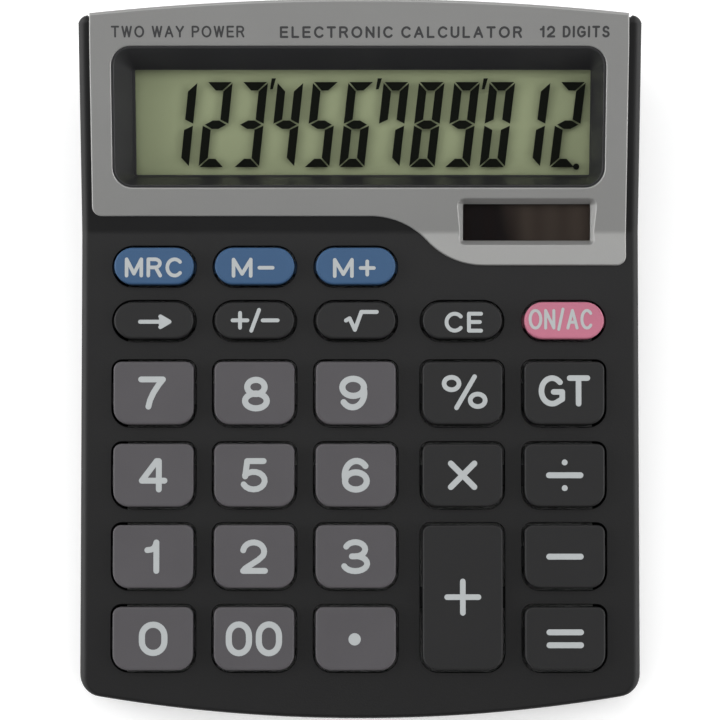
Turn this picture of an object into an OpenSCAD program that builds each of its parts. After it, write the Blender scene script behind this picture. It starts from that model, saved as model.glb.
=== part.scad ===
// Desk calculator: a wedge-shaped case, 27 sprung keys, a raised display section
// with a recessed liquid-crystal display, a solar cell and a button cell.
// +X right, +Y towards the display, +Z up. The origin is the centre of the
// footprint, at the height of the table.

/* [Case] */
// Width of the case across the keypad
body_w = 105; // [86:0.5:128]
// Depth of the case from front edge to rear edge
body_d = 132; // [109:0.5:160]
// Height of the keypad's front edge above the table
front_h = 12; // [12:0.5:15]
// Slope of the keypad in degrees
key_tilt = 5.5; // [5:0.5:7]
// Slope of the display section in degrees
disp_tilt = 20.5; // [17:0.5:24]
// Wall thickness of both case halves
wall = 1.8; // [1.5:0.1:2.2]
// Radius of the long rounded side edges
edge_r = 1.6; // [1:0.1:1.7]
// Radius of the two front corners, seen from above
front_corner_r = 4.3; // [3:0.1:6]
// Radius of the two rear corners, seen from above
rear_corner_r = 1.9; // [1:0.1:3]
// How far the front edge bows out at its middle
front_bow = 4.7; // [2:0.1:6]
// How far the rear edge bows out at its middle
rear_bow = 2.7; // [1:0.1:4]
// Height of the rubber feet below the case
foot_h = 1.2; // [1:0.1:1.4]

/* [Keys] */
// Width of a full key cap
key_w = 15; // [12:0.1:15.6]
// Depth of a full key cap
key_d = 11.8; // [9.8:0.1:12.4]
// Depth of the narrow oval keys
oval_d = 6.9; // [5.6:0.1:7.2]
// Height of a key cap above the case
cap_h = 2; // [1.5:0.1:2.6]
// Gap round each key in its opening
key_gap = 0.45; // [0.3:0.05:0.5]
// How far a key travels when pressed
key_travel = 1.2; // [0.8:0.1:1.4]
// Corner radius at the rear of a full key
key_rear_r = 1.5; // [0.8:0.1:2]
// Corner radius at the front of a full key
key_front_r = 3; // [2:0.1:3.4]

/* [Display] */
// How far the silver plate stands above the case
plate_proud = 0.5; // [0.3:0.1:0.8]
// Depth of the display's sloping surround
bezel_depth = 4.6; // [3.5:0.1:5.2]
// Corner radius of the display's surround
bezel_r = 3.7; // [2.5:0.1:4.5]
// Thickness of the display glass
glass_t = 1.8; // [1.4:0.1:2]

/* [Inside] */
// Thickness of the circuit board
board_t = 1.2; // [1:0.1:1.3]
// Thickness of the rubber key mat
mat_t = 0.8; // [0.6:0.1:0.9]
// Diameter of the button cell
cell_d = 11.6; // [9.5:0.1:12]
// Thickness of the button cell
cell_t = 3.1; // [2.6:0.1:3.2]
// Radius of a case screw's shank
screw_r = 1; // [0.8:0.05:1.1]

/* [Hidden] */
$fn = 48;
far = 300;
fine = 0.05;

// Layout scales, so that the keypad and display follow the case's size
sx = body_w / 105;
sy = body_d / 132;

// Side view: the keypad and the display meet in a shallow valley, the crease
key_run = 90.8 * sy;
crease_y = key_run - body_d / 2;
crease_z = front_h + key_run * tan(key_tilt);
key_len = key_run / cos(key_tilt);
disp_len = (body_d - key_run) / cos(disp_tilt);
mid_tilt = (key_tilt + disp_tilt) / 2;

// Plan view: bow radii from chord and sagitta
front_bow_r = (pow(body_w / 2, 2) + pow(front_bow, 2)) / (2 * front_bow);
rear_bow_r = (pow(body_w / 2, 2) + pow(rear_bow, 2)) / (2 * rear_bow);

// The line where the two case halves meet
seam_front = foot_h + 4.8;
seam_rear = foot_h + 12.8;
seam_tilt = atan((seam_rear - seam_front) / body_d);

// Key columns and rows: x of each column, distance of each row in front of the crease
col = [for (c = [-38.7, -19.8, -0.8, 19.2, 38.3]) c * sx];
row = [for (r = [6.5, 16.75, 30.4, 45.8, 61.0, 76.3]) r * sy];
cap_w = key_w * sx;
cap_d = key_d * sy;
oval_w = cap_w - 0.1;
tall_d = cap_d + row[5] - row[4];
blue = "SteelBlue";
dark = "DimGray";
grey = "Gray";
pink = "PaleVioletRed";

// Every key: name, column, distance in front of the crease, depth, oval or not, colour
keys = [
  ["key_mrc", col[0], row[0], oval_d * sy, true, blue],
  ["key_m_minus", col[1], row[0], oval_d * sy, true, blue],
  ["key_m_plus", col[2], row[0], oval_d * sy, true, blue],
  ["key_back", col[0], row[1], oval_d * sy, true, dark],
  ["key_sign", col[1], row[1], oval_d * sy, true, dark],
  ["key_root", col[2], row[1], oval_d * sy, true, dark],
  ["key_ce", col[3], row[1], oval_d * sy, true, dark],
  ["key_on_ac", col[4], row[1], oval_d * sy, true, pink],
  ["key_7", col[0], row[2], cap_d, false, grey],
  ["key_8", col[1], row[2], cap_d, false, grey],
  ["key_9", col[2], row[2], cap_d, false, grey],
  ["key_percent", col[3], row[2], cap_d, false, dark],
  ["key_gt", col[4], row[2], cap_d, false, dark],
  ["key_4", col[0], row[3], cap_d, false, grey],
  ["key_5", col[1], row[3], cap_d, false, grey],
  ["key_6", col[2], row[3], cap_d, false, grey],
  ["key_multiply", col[3], row[3], cap_d, false, dark],
  ["key_divide", col[4], row[3], cap_d, false, dark],
  ["key_1", col[0], row[4], cap_d, false, grey],
  ["key_2", col[1], row[4], cap_d, false, grey],
  ["key_3", col[2], row[4], cap_d, false, grey],
  ["key_plus", col[3], (row[4] + row[5]) / 2, tall_d, false, dark],
  ["key_minus", col[4], row[4], cap_d, false, dark],
  ["key_0", col[0], row[5], cap_d, false, grey],
  ["key_00", col[1], row[5], cap_d, false, grey],
  ["key_point", col[2], row[5], cap_d, false, grey],
  ["key_equals", col[4], row[5], cap_d, false, dark],
];

// Levels below the keypad's surface, measured square to it
tab_h = 0.9;
tab_out = 0.8;
tab_top = wall + fine;
skirt_bottom = tab_top + tab_h;
stem_bottom = skirt_bottom + 0.8;
mat_dome = 0.8;
mat_top = stem_bottom + key_travel + 0.1 + mat_dome;
board_top = mat_top + mat_t;
board_bottom = board_top + board_t;
cap_skin = 1.2;
stem_r = 2.2;

// The board's own screws stand where four keys meet
board_posts = [
  [(col[0] + col[1]) / 2, -(row[2] + row[3]) / 2],
  [(col[3] + col[4]) / 2, -(row[2] + row[3]) / 2],
  [(col[0] + col[1]) / 2, -(row[4] + row[5]) / 2],
  [(col[3] + col[4]) / 2, -(row[3] + row[4]) / 2],
];
board_post_r = 1.7;
board_hole_r = 1.1;
board_screw_r = 0.75;
board_half_w = 44 * sx;
board_front = wall + 1.6 + front_bow * pow(board_half_w / body_w * 2, 2) - key_len;
board_rear = 1;

// The case screws stand at the four corners, outside the board
post_r = 2.3;
post_x = body_w / 2 - wall - post_r - 0.3;
front_post_y = crease_y - (row[4] + row[5]) / 2 * cos(key_tilt);
rear_post_y = body_d / 2 - rear_bow - wall - post_r - 0.1;
front_post_z = foot_h + 5.3;
rear_post_z = foot_h + 9;
posts = [
  [-post_x, front_post_y, front_post_z],
  [post_x, front_post_y, front_post_z],
  [-post_x, rear_post_y, rear_post_z],
  [post_x, rear_post_y, rear_post_z],
];
screw_head_r = 1.9;
screw_head_h = 1.3;
screw_sink = 1.6;

// Display section, measured along its slope from the crease
bezel_x0 = -46.4 * sx;
bezel_x1 = 45.9 * sx;
bezel_y0 = 8.6 * sy;
bezel_y1 = 35.2 * sy;
window_x0 = -42.3 * sx;
window_x1 = 43.4 * sx;
window_y0 = 10.1 * sy;
window_y1 = 30.1 * sy;
glass_x0 = window_x0 - 1.6;
glass_x1 = window_x1 + 0.9;
glass_y0 = window_y0 - 3.2;
glass_y1 = window_y1 + 1.6;
glass_top = bezel_depth + 0.9;
sheet_t = 0.3;

// Silver plate: edges and the step in its front edge
plate_t = 1.2;
plate_gap = 0.25;
plate_x0 = -50.4 * sx;
plate_x1 = 50.1 * sx;
plate_left_y = 3.1 * sy;
plate_right_y = -6.3 * sy;
step_x0 = 2 * sx;
step_x1 = 23.2 * sx;
plate_corner_r = 1.8;
plate_lip_z = crease_z + disp_len * sin(disp_tilt) - 6.5;

// Solar window, lying flat across the crease
solar_x0 = 19.4 * sx;
solar_x1 = 43.4 * sx;
solar_y0 = -1.6 * sy;
solar_y1 = 5.3 * sy;
solar_rim = 0.85;
solar_level = 0.3;
solar_lid_t = 1.2;
solar_cell_t = 1.1;

// Rubber feet
foot_r = 4.5;
foot_x = body_w / 2 - 14 * sx;
foot_front_y = -body_d / 2 + 15 * sy;
foot_rear_y = body_d / 2 - 9 * sy;

// Battery compartment, at the middle of the rear edge
door_w = 26 * sx;
door_d = 21;
door_t = 1.6;
door_tongue = 0.9;
door_gap = 0.2;
cell_y = body_d / 2 - 12.5;
cell_z = foot_h + door_t + 0.4;
roof_z = foot_h + 7.2;

// Frames: local +Y runs up the slope and local +Z stands square to it
module on_keypad() {
  translate([0, crease_y, crease_z]) rotate([key_tilt, 0, 0]) children();
}

module on_display() {
  translate([0, crease_y, crease_z]) rotate([disp_tilt, 0, 0]) children();
}

module on_crease() {
  translate([0, crease_y, crease_z]) rotate([mid_tilt, 0, 0]) children();
}

// Side-view points, as [y, z] in the case's frame
function keypad_point(y, z) =
  [crease_y + y * cos(key_tilt) - z * sin(key_tilt), crease_z + y * sin(key_tilt) + z * cos(key_tilt)];
function display_point(y, z) =
  [crease_y + y * cos(disp_tilt) - z * sin(disp_tilt), crease_z + y * sin(disp_tilt) + z * cos(disp_tilt)];

// Points of an arc from angle a0 to angle a1
function arc(x, y, r, a0, a1, n = 12) =
  [for (i = [0:n]) let (a = a0 + (a1 - a0) * i / n) [x + r * cos(a), y + r * sin(a)]];

// A box from its two corners
module block(x0, y0, z0, x1, y1, z1) {
  translate([x0, y0, z0]) cube([x1 - x0, y1 - y0, z1 - z0]);
}

// A round bar from one point to another
module bar(p, q, r) {
  d = q - p;
  translate(p) rotate([0, acos(d[2] / norm(d)), atan2(d[1], d[0])]) cylinder(h = norm(d), r = r);
}

// A wire through a list of points, with round bends
module wire(points, r) {
  for (i = [0:len(points) - 2]) bar(points[i], points[i + 1], r);
  for (i = [1:len(points) - 2]) translate(points[i]) sphere(1.12 * r);
}

// Cross-section of the case, square to a slope, with two rounded top edges
module slope_section() {
  flat = body_w / 2 - edge_r;
  translate([-flat, -far / 4]) square([2 * flat, far / 4]);
  translate([-body_w / 2, -far / 4]) square([body_w, far / 4 - edge_r]);
  for (s = [-1, 1]) translate([s * flat, -edge_r]) circle(edge_r);
}

// The bowed front and rear ends, moved in by inset
module bowed_ends(inset) {
  intersection() {
    on_keypad() translate([0, front_bow_r - key_len, -far / 4])
      cylinder(h = far / 2, r = front_bow_r - inset, $fn = 720);
    translate([0, body_d / 2 - rear_bow_r, foot_h + inset])
      cylinder(h = far / 2, r = rear_bow_r - inset, $fn = 720);
  }
}

// The outer shape before its upright corners are rounded
module outer_shape() {
  intersection() {
    union() {
      on_keypad() rotate([90, 0, 0]) translate([0, 0, -disp_len])
        linear_extrude(disp_len + key_len + 1) slope_section();
      on_display() rotate([90, 0, 0]) translate([0, 0, -2 * disp_len])
        linear_extrude(2 * disp_len + 5) slope_section();
    }
    bowed_ends(0);
  }
}

// The outer shape moved in by inset on every side, with plain edges
module inner_shape(inset) {
  valley = inset / cos(mid_tilt - key_tilt);
  front = keypad_point(-key_len - 20, -inset);
  rear = display_point(disp_len + 20, -inset);
  intersection() {
    rotate([90, 0, 90]) translate([0, 0, inset - body_w / 2]) linear_extrude(body_w - 2 * inset) polygon([
      [crease_y + valley * sin(mid_tilt), crease_z - valley * cos(mid_tilt)],
      front,
      [front[0], -far / 4],
      [rear[0], -far / 4],
      rear
    ]);
    bowed_ends(inset);
  }
}

// The outer shape with its four upright corners rounded
module case_shape() {
  difference() {
    outer_shape();
    for (s = [0, 1]) mirror([s, 0, 0]) {
      on_keypad() front_corner();
      rear_corner();
    }
  }
}

// Cutter that rounds a front corner, between the side and the bowed front
module front_corner() {
  r = front_corner_r;
  x = body_w / 2 - r;
  bow_y = front_bow_r - key_len;
  y = bow_y - sqrt(pow(front_bow_r - r, 2) - x * x);
  a = atan2(y - bow_y, x);
  translate([0, 0, -far / 4]) linear_extrude(far / 2) difference() {
    polygon([[x, y], [x + 2 * r, y], [x + 2 * r, y - 3 * r], [x + 3 * r * cos(a), y + 3 * r * sin(a)]]);
    translate([x, y]) circle(r);
  }
}

// Cutter that rounds a rear corner, between the side and the bowed rear
module rear_corner() {
  r = rear_corner_r;
  x = body_w / 2 - r;
  bow_y = body_d / 2 - rear_bow_r;
  y = bow_y + sqrt(pow(rear_bow_r - r, 2) - x * x);
  a = atan2(y - bow_y, x);
  linear_extrude(far / 2) difference() {
    polygon([[x, y], [x + 2 * r, y], [x + 2 * r, y + 3 * r], [x + 3 * r * cos(a), y + 3 * r * sin(a)]]);
    translate([x, y]) circle(r);
  }
}

// Everything above the seam, raised by lift
module above_seam(lift) {
  translate([0, -body_d / 2, seam_front + lift]) rotate([seam_tilt, 0, 0])
    translate([-far / 2, -far / 4, 0]) cube([far, far, far / 2]);
}

// Everything below the seam, raised by lift
module below_seam(lift) {
  translate([0, -body_d / 2, seam_front + lift]) rotate([seam_tilt, 0, 0])
    translate([-far / 2, -far / 4, -far / 2]) cube([far, far, far / 2]);
}

// Outline of a full key, grown by m
module full_key(d, m) {
  rear = key_rear_r;
  front = key_front_r;
  translate([-cap_w / 2 - m, -d / 2 + front]) square([cap_w + 2 * m, d - rear - front]);
  translate([-cap_w / 2 + front, -d / 2 - m]) square([cap_w - 2 * front, front + m + fine]);
  translate([-cap_w / 2 + rear, d / 2 - rear - fine]) square([cap_w - 2 * rear, rear + m + fine]);
  for (s = [-1, 1]) {
    translate([s * (cap_w / 2 - front), -d / 2 + front]) circle(front + m);
    translate([s * (cap_w / 2 - rear), d / 2 - rear]) circle(rear + m);
  }
}

// Outline of an oval key, grown by m
module oval_key(d, m) {
  half = oval_w / 2 - d / 2;
  translate([-half, -d / 2 - m]) square([2 * half, d + 2 * m]);
  for (s = [-1, 1]) translate([s * half, 0]) circle(d / 2 + m);
}

module key_outline(k, m) {
  if (k[4]) oval_key(k[3], m);
  else full_key(k[3], m);
}

// Outline of the silver plate, grown by m, open at the rear
module plate_outline(m) {
  // two equal arcs join the left and right front edges
  rise = plate_left_y - plate_right_y;
  run = step_x1 - step_x0;
  r = (rise * rise + run * run) / (4 * rise);
  turn = 2 * atan(rise / run);
  c = plate_corner_r;
  polygon(concat(
    [[plate_x1 + m, far / 4], [plate_x0 - m, far / 4]],
    arc(plate_x0 + c, plate_left_y + c, c + m, 180, 270, 8),
    arc(step_x0, plate_left_y - r, r - m, 90, 90 - turn),
    arc(step_x1, plate_right_y + r, r + m, 270 - turn, 270),
    arc(plate_x1 - c, plate_right_y + c, c + m, 270, 360, 8)
  ));
}

// The silver plate's slab, grown sideways by m, from level z0 to level z1
module plate_slab(m, z0, z1) {
  on_display() translate([0, 0, z0]) linear_extrude(z1 - z0) intersection() {
    plate_outline(m);
    translate([-far / 2, -0.6]) square([far, far]);
  }
  on_keypad() translate([0, 0, z0]) linear_extrude(z1 - z0) intersection() {
    plate_outline(m);
    translate([-far / 2, 0.6 - far]) square([far, far]);
  }
}

// Rear skin between two depths inside the bowed rear face
module rear_skin(m, outer, inner) {
  translate([0, body_d / 2 - rear_bow_r, plate_lip_z - m]) intersection() {
    difference() {
      cylinder(h = far / 4, r = rear_bow_r + outer, $fn = 720);
      translate([0, 0, -1]) cylinder(h = far / 4 + 2, r = rear_bow_r - inner, $fn = 720);
    }
    translate([plate_x0 - m, 0, 0]) cube([plate_x1 - plate_x0 + 2 * m, far * 2, far / 4]);
  }
}

// Opening of the display's surround, grown by m
module surround_outline(m) {
  r = bezel_r;
  w = bezel_x1 - bezel_x0;
  d = bezel_y1 - bezel_y0;
  translate([bezel_x0, bezel_y0]) {
    translate([-m, r]) square([w + 2 * m, d - 2 * r]);
    translate([r, -m]) square([w - 2 * r, d + 2 * m]);
    for (x = [r, w - r], y = [r, d - r]) translate([x, y]) circle(r + m);
  }
}

// The silver rim that frames the solar window, in the crease's frame
module solar_frame(m, bottom) {
  block(solar_x0 - 1.6 - m, solar_y0 - 1.6 - m, -bottom, solar_x1 + 1.6 + m, solar_y1 + 1.6 + m, fine);
}

// Sloping mouth above the solar window
module solar_mouth() {
  rise = 2;
  hull() {
    block(solar_x0, solar_y0, -solar_level, solar_x1, solar_y1, -solar_level + fine);
    block(
      solar_x0 - 2 * solar_rim, solar_y0 - 2 * solar_rim, rise,
      solar_x1 + 2 * solar_rim, solar_y1 + 2 * solar_rim, rise + fine
    );
  }
}

module top_case() {
  color([0.17, 0.17, 0.18]) difference() {
    union() {
      difference() {
        intersection() {
          case_shape();
          above_seam(0);
        }
        inner_shape(wall);
      }
      intersection() {
        union() {
          for (p = posts) translate(p) cylinder(h = far / 4, r = post_r);
          on_keypad() for (p = board_posts)
            translate([p[0], p[1], -board_top]) cylinder(h = board_top, r = board_post_r);
        }
        inner_shape(wall / 2);
      }
    }
    for (p = posts) translate(p - [0, 0, 1]) cylinder(h = 6, r = screw_r + fine);
    on_keypad() {
      for (p = board_posts) translate([p[0], p[1], -board_top - 1]) cylinder(h = 4, r = board_screw_r + fine);
      for (k = keys) translate([k[1], -k[2], -2 * wall]) linear_extrude(4 * wall) key_outline(k, key_gap);
    }
    plate_slab(plate_gap, plate_proud - plate_t, plate_proud + 1);
    rear_skin(plate_gap - fine, 1, plate_t - plate_proud);
    on_display() translate([0, 0, -2 * wall]) linear_extrude(4 * wall) surround_outline(0.25);
    on_crease() solar_frame(0.3, 2 * wall);
  }
}

// Lip that stands inside the top case, rooted in the wall of the bottom case
module locating_lip() {
  lip = 1.4;
  difference() {
    union() {
      intersection() {
        inner_shape(wall + 0.2);
        below_seam(lip);
        above_seam(-1);
      }
      intersection() {
        inner_shape(wall - 0.2);
        below_seam(-0.25);
        above_seam(-lip);
      }
    }
    inner_shape(wall + 1.2);
    for (p = posts) translate(p - [0, 0, 9]) cylinder(h = 20, r = post_r + 0.3);
  }
}

module bottom_case() {
  color([0.14, 0.14, 0.15]) difference() {
    union() {
      difference() {
        intersection() {
          case_shape();
          below_seam(-0.25);
        }
        inner_shape(wall);
      }
      locating_lip();
      for (p = posts) translate([p[0], p[1], foot_h]) cylinder(h = p[2] - foot_h - fine, r = post_r + 0.5);
      battery_box();
    }
    for (p = posts) {
      translate([p[0], p[1], foot_h - 1]) cylinder(h = screw_sink + screw_head_h + 1, r = screw_head_r + 0.3);
      translate([p[0], p[1], foot_h - 1]) cylinder(h = 20, r = screw_r + 0.2);
    }
    battery_opening();
  }
}

// Walls and roof over the cell, standing on the floor of the bottom case
module battery_box() {
  half = door_w / 2 + 1.8;
  y0 = body_d / 2 - door_d - 1.8;
  y1 = body_d / 2 - 3.4;
  difference() {
    block(-half, y0, foot_h + 1, half, y1, roof_z + 1.2);
    block(-half + 1.4, y0 + 1.4, foot_h, half - 1.4, y1 - 1.2, roof_z);
  }
  difference() {
    translate([0, cell_y, cell_z + 0.3]) cylinder(h = roof_z - cell_z, r = cell_d / 2 + 1.2);
    translate([0, cell_y, foot_h]) cylinder(h = roof_z - foot_h, r = cell_d / 2 + 0.2);
    translate([cell_d / 2 - 2, cell_y - 2.2, foot_h]) cube([5, 4.4, roof_z - foot_h]);
  }
}

// Opening for the door, its grooves and the slots for the two contacts
module battery_opening() {
  w = door_w / 2 + door_gap;
  t = door_w / 2 + door_tongue + door_gap;
  y0 = body_d / 2 - door_d - door_gap;
  block(-w, y0, foot_h - 1, w, body_d / 2 + 1, foot_h + door_t + 0.3);
  block(-t, y0, foot_h + 0.5, t, body_d / 2 + 1, foot_h + 1.3);
  block(-w, body_d / 2 - rear_bow - wall - 0.4, foot_h - 1, w, body_d / 2 + 1, foot_h + 6.4);
  translate([cell_d / 2 - 0.1, cell_y - 1.7, roof_z - 1]) cube([0.8, 3.4, 4]);
  translate([-1.7, cell_y - cell_d / 2 + 1.9, roof_z - 1]) cube([3.4, 0.7, 4]);
}

module face_plate() {
  color([0.62, 0.62, 0.61]) difference() {
    union() {
      difference() {
        intersection() {
          plate_slab(0, plate_proud - plate_t, plate_proud);
          translate([0, body_d / 2 - rear_bow_r, 0]) cylinder(h = far, r = rear_bow_r + fine, $fn = 720);
        }
        on_display() translate([0, 0, -wall]) linear_extrude(2 * wall) surround_outline(0);
      }
      intersection() {
        rear_skin(0, 0, plate_t - plate_proud);
        on_display() translate([-far / 2, -far / 2, -far]) cube([far, far, far + plate_proud]);
      }
      on_crease() solar_frame(0, solar_level + solar_lid_t);
    }
    on_crease() {
      solar_mouth();
      block(
        solar_x0 - 0.5, solar_y0 - 0.5, -solar_level - solar_lid_t - 1,
        solar_x1 + 0.5, solar_y1 + 0.5, -solar_level
      );
    }
  }
}

module display_bezel() {
  rim = 0.35;
  depth = bezel_depth + 0.9;
  color([0.12, 0.12, 0.13]) difference() {
    on_display() difference() {
      union() {
        translate([0, 0, -depth]) linear_extrude(depth + plate_proud - 0.15) surround_outline(-fine);
        translate([0, 0, -wall - 1.5]) linear_extrude(1.45) surround_outline(0.9);
      }
      hull() {
        translate([0, 0, plate_proud]) linear_extrude(1) surround_outline(-rim);
        block(window_x0, window_y0, -bezel_depth, window_x1, window_y1, fine - bezel_depth);
      }
      block(window_x0, window_y0, -depth - 1, window_x1, window_y1, 0);
    }
    // room for the screw posts of the upper case
    for (p = posts) translate(p) cylinder(h = far / 4, r = post_r + 0.2);
  }
}

module lcd_glass() {
  color([0.75, 0.8, 0.75, 0.4]) on_display()
    block(glass_x0, glass_y0, -glass_top - glass_t, glass_x1, glass_y1, -glass_top);
}

module lcd_reflector() {
  color([0.47, 0.5, 0.4]) on_display()
    block(glass_x0, glass_y0 + 2, -glass_top - glass_t - sheet_t, glass_x1, glass_y1, -glass_top - glass_t);
}

// Tray behind the display, clipped to the back of the surround
module lcd_holder() {
  back = glass_top + glass_t + sheet_t;
  color("WhiteSmoke") on_display() difference() {
    block(glass_x0 - 1.2, glass_y0 - 1.2, -back - 1.2, glass_x1 + 1.2, glass_y1 + 1.2, -glass_top - fine);
    block(glass_x0 - 0.2, glass_y0 - 0.2, -back, glass_x1 + 0.2, glass_y1 + 0.2, 0);
    // slot for the ribbon along the front edge
    block(glass_x0 + 10, glass_y0 - 3, -back - 2, glass_x1 - 10, glass_y0 + 1.8, 0);
  }
}

// Flat film from the glass's ledge down to the board
module lcd_ribbon() {
  film = 0.15;
  under = -glass_top - glass_t - 0.02;
  upper = [display_point(glass_y0 + 1.6, under), display_point(glass_y0 - 0.6, under)];
  over = 0.02 - board_top;
  lower = [keypad_point(board_rear - 0.2, over), keypad_point(board_rear - 2.5, over)];
  drop = [0, film];
  above = [upper[0], upper[1], lower[0] + drop, lower[1] + drop];
  below = [lower[1], lower[0], upper[1] - drop, upper[0] - drop];
  side = 12;
  color("Sienna") rotate([90, 0, 90]) translate([0, 0, glass_x0 + side])
    linear_extrude(glass_x1 - glass_x0 - 2 * side) polygon(concat(above, below));
}

module solar_window() {
  color([0.2, 0.15, 0.15]) on_crease()
    block(
      solar_x0 - 0.4, solar_y0 - 0.4, -solar_level - solar_lid_t,
      solar_x1 + 0.4, solar_y1 + 0.4, -solar_level - 0.02
    );
}

module solar_cell() {
  top = solar_level + solar_lid_t + 0.02;
  color([0.1, 0.08, 0.1]) on_crease()
    block(solar_x0 - 0.4, solar_y0 - 0.4, -top - solar_cell_t, solar_x1 + 0.4, solar_y1 + 0.4, -top);
}

// Two thin wires from the solar cell to the board
module solar_leads() {
  start = solar_level + solar_lid_t + solar_cell_t + 0.45;
  color("Firebrick") for (x = [solar_x0 + 3, solar_x0 + 6]) {
    a = keypad_point(-0.5, -start - 0.6);
    b = keypad_point(board_rear - 2, 0.6 - board_top);
    wire([[x, a[0] + 1, a[1]], [x - 0.5, a[0] - 1, a[1] - 0.8], [x + 1, b[0], b[1]]], 0.4);
  }
}

module key_mat() {
  color("LightGrey") on_keypad() difference() {
    union() {
      block(-board_half_w, board_front + 0.5, fine - board_top, board_half_w, board_rear - 3.2, -mat_top);
      for (k = keys)
        translate([k[1], -k[2], -mat_top - fine]) cylinder(h = mat_dome + fine, r1 = 3.2, r2 = 2.2);
    }
    for (p = board_posts) translate([p[0], p[1], -far / 4]) cylinder(h = far / 2, r = board_post_r + 0.4);
    for (k = keys) translate([k[1], -k[2], -board_top]) cylinder(h = mat_t, r = 1.9);
  }
}

module main_board() {
  color("SeaGreen") on_keypad() difference() {
    block(-board_half_w, board_front, -board_bottom, board_half_w, board_rear, -board_top);
    for (p = board_posts) translate([p[0], p[1], -far / 4]) cylinder(h = far / 2, r = board_hole_r);
  }
}

// Drop of black resin over the chip, on the underside of the board
module chip_cover() {
  color("Black") on_keypad() translate([4 * sx, -22 * sy, -board_bottom - 1]) {
    cylinder(h = 1 - fine / 2, r1 = 3.6, r2 = 5);
  }
}

// Capacitor, diode and resistors on the underside of the board, near its rear edge
module board_parts() {
  y = board_rear - 6;
  color("Peru") on_keypad() translate([0, 0, -board_bottom]) {
    translate([-14 * sx, y, -2.1]) rotate([0, 90, 0]) cylinder(h = 6, r = 2);
    translate([-24 * sx, y, -1.1]) rotate([0, 90, 0]) cylinder(h = 4, r = 1);
    for (i = [0:2]) block(-34 * sx + i * 2.4, y - 1.5, -0.7, -34 * sx + i * 2.4 + 1.2, y + 0.5, -fine);
  }
}

module button_cell() {
  color("Silver") translate([0, cell_y, cell_z]) {
    cylinder(h = cell_t * 0.75, r = cell_d / 2);
    cylinder(h = cell_t, r = cell_d / 2 - 0.9);
  }
}

// Spring leaf that touches the cell's side
module contact_plus() {
  color("Goldenrod") translate([cell_d / 2 + fine, cell_y - 1.5, cell_z + 0.3])
    cube([0.4, 3, roof_z + 2.7 - cell_z]);
}

// Spring leaf that touches the top of the cell
module contact_minus() {
  z = cell_z + cell_t + fine;
  y = cell_y - cell_d / 2 + 2;
  color("Goldenrod") {
    block(-1.5, y, z, 1.5, cell_y + 2, z + 0.4);
    block(-1.5, y, z, 1.5, y + 0.4, roof_z + 3);
  }
}

// Two thin wires from the battery contacts to the board
module battery_leads() {
  top = roof_z + 3.6;
  b = keypad_point(board_rear - 3, -board_bottom - 0.6);
  r = 0.45;
  color("Black") {
    wire([[cell_d / 2 + 0.2, cell_y, top], [cell_d / 2 + 2, cell_y - 8, top + 0.5], [12 * sx, b[0], b[1]]], r);
    wire([[0, cell_y - cell_d / 2 + 2.2, top], [2, cell_y - 12, top + 0.5], [8 * sx, b[0], b[1]]], r);
  }
}

module battery_door() {
  y0 = body_d / 2 - door_d;
  color([0.14, 0.14, 0.15]) difference() {
    intersection() {
      union() {
        block(-door_w / 2, y0, foot_h, door_w / 2, body_d / 2 + 1, foot_h + door_t);
        block(
          -door_w / 2 - door_tongue, y0 + 1, foot_h + 0.6,
          door_w / 2 + door_tongue, body_d / 2 - rear_bow - wall - 1, foot_h + 1.2
        );
        block(-door_w / 2, body_d / 2 - wall, foot_h, door_w / 2, body_d / 2 + 1, foot_h + 6.2);
      }
      translate([0, body_d / 2 - rear_bow_r, 0]) cylinder(h = far, r = rear_bow_r, $fn = 720);
    }
    // finger grooves
    for (y = [2.7:1.4:7]) block(-5, body_d / 2 - y - 1.1, foot_h - 1, 5, body_d / 2 - y - 0.5, foot_h + 0.4);
  }
}

module case_screws() {
  base = foot_h + screw_sink;
  color("Silver") for (p = posts) translate([p[0], p[1], base]) difference() {
    union() {
      cylinder(h = screw_head_h - fine, r = screw_head_r);
      cylinder(h = p[2] - base + 4.4, r = screw_r);
    }
    block(-1.2, -0.25, -1, 1.2, 0.25, 0.6);
    block(-0.25, -1.2, -1, 0.25, 1.2, 0.6);
  }
}

module board_screws() {
  head_h = 1.1;
  color("Silver") on_keypad() for (p = board_posts) translate([p[0], p[1], -board_bottom - head_h])
    difference() {
      union() {
        cylinder(h = head_h - fine, r = 1.6);
        cylinder(h = head_h + board_t + 2.6, r = board_screw_r);
      }
      block(-1, -0.2, -1, 1, 0.2, 0.5);
    }
}

// One rubber foot, stuck under the case
module foot(side, y) {
  color([0.1, 0.1, 0.1]) translate([side * foot_x, y, 0]) cylinder(h = foot_h, r = foot_r);
}

// A hollow cap with a stem below it and a tab at each side to hold it in the case
module key(k) {
  d = k[3];
  tab_w = k[4] ? 2.4 : 4;
  w = (k[4] ? oval_w : cap_w) / 2 + key_gap + tab_out;
  color(k[5]) on_keypad() translate([k[1], -k[2], 0]) {
    difference() {
      union() {
        translate([0, 0, -skirt_bottom]) linear_extrude(skirt_bottom + cap_h) key_outline(k, 0);
        block(-w, -tab_w / 2, -skirt_bottom, w, tab_w / 2, -tab_top);
      }
      translate([0, 0, -skirt_bottom - 1]) linear_extrude(skirt_bottom + cap_h + 1 - cap_skin)
        key_outline(k, -cap_skin);
    }
    translate([0, 0, -stem_bottom])
      cylinder(h = stem_bottom + cap_h - cap_skin / 2, r = min(stem_r, d / 2 - cap_skin));
  }
}

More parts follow.
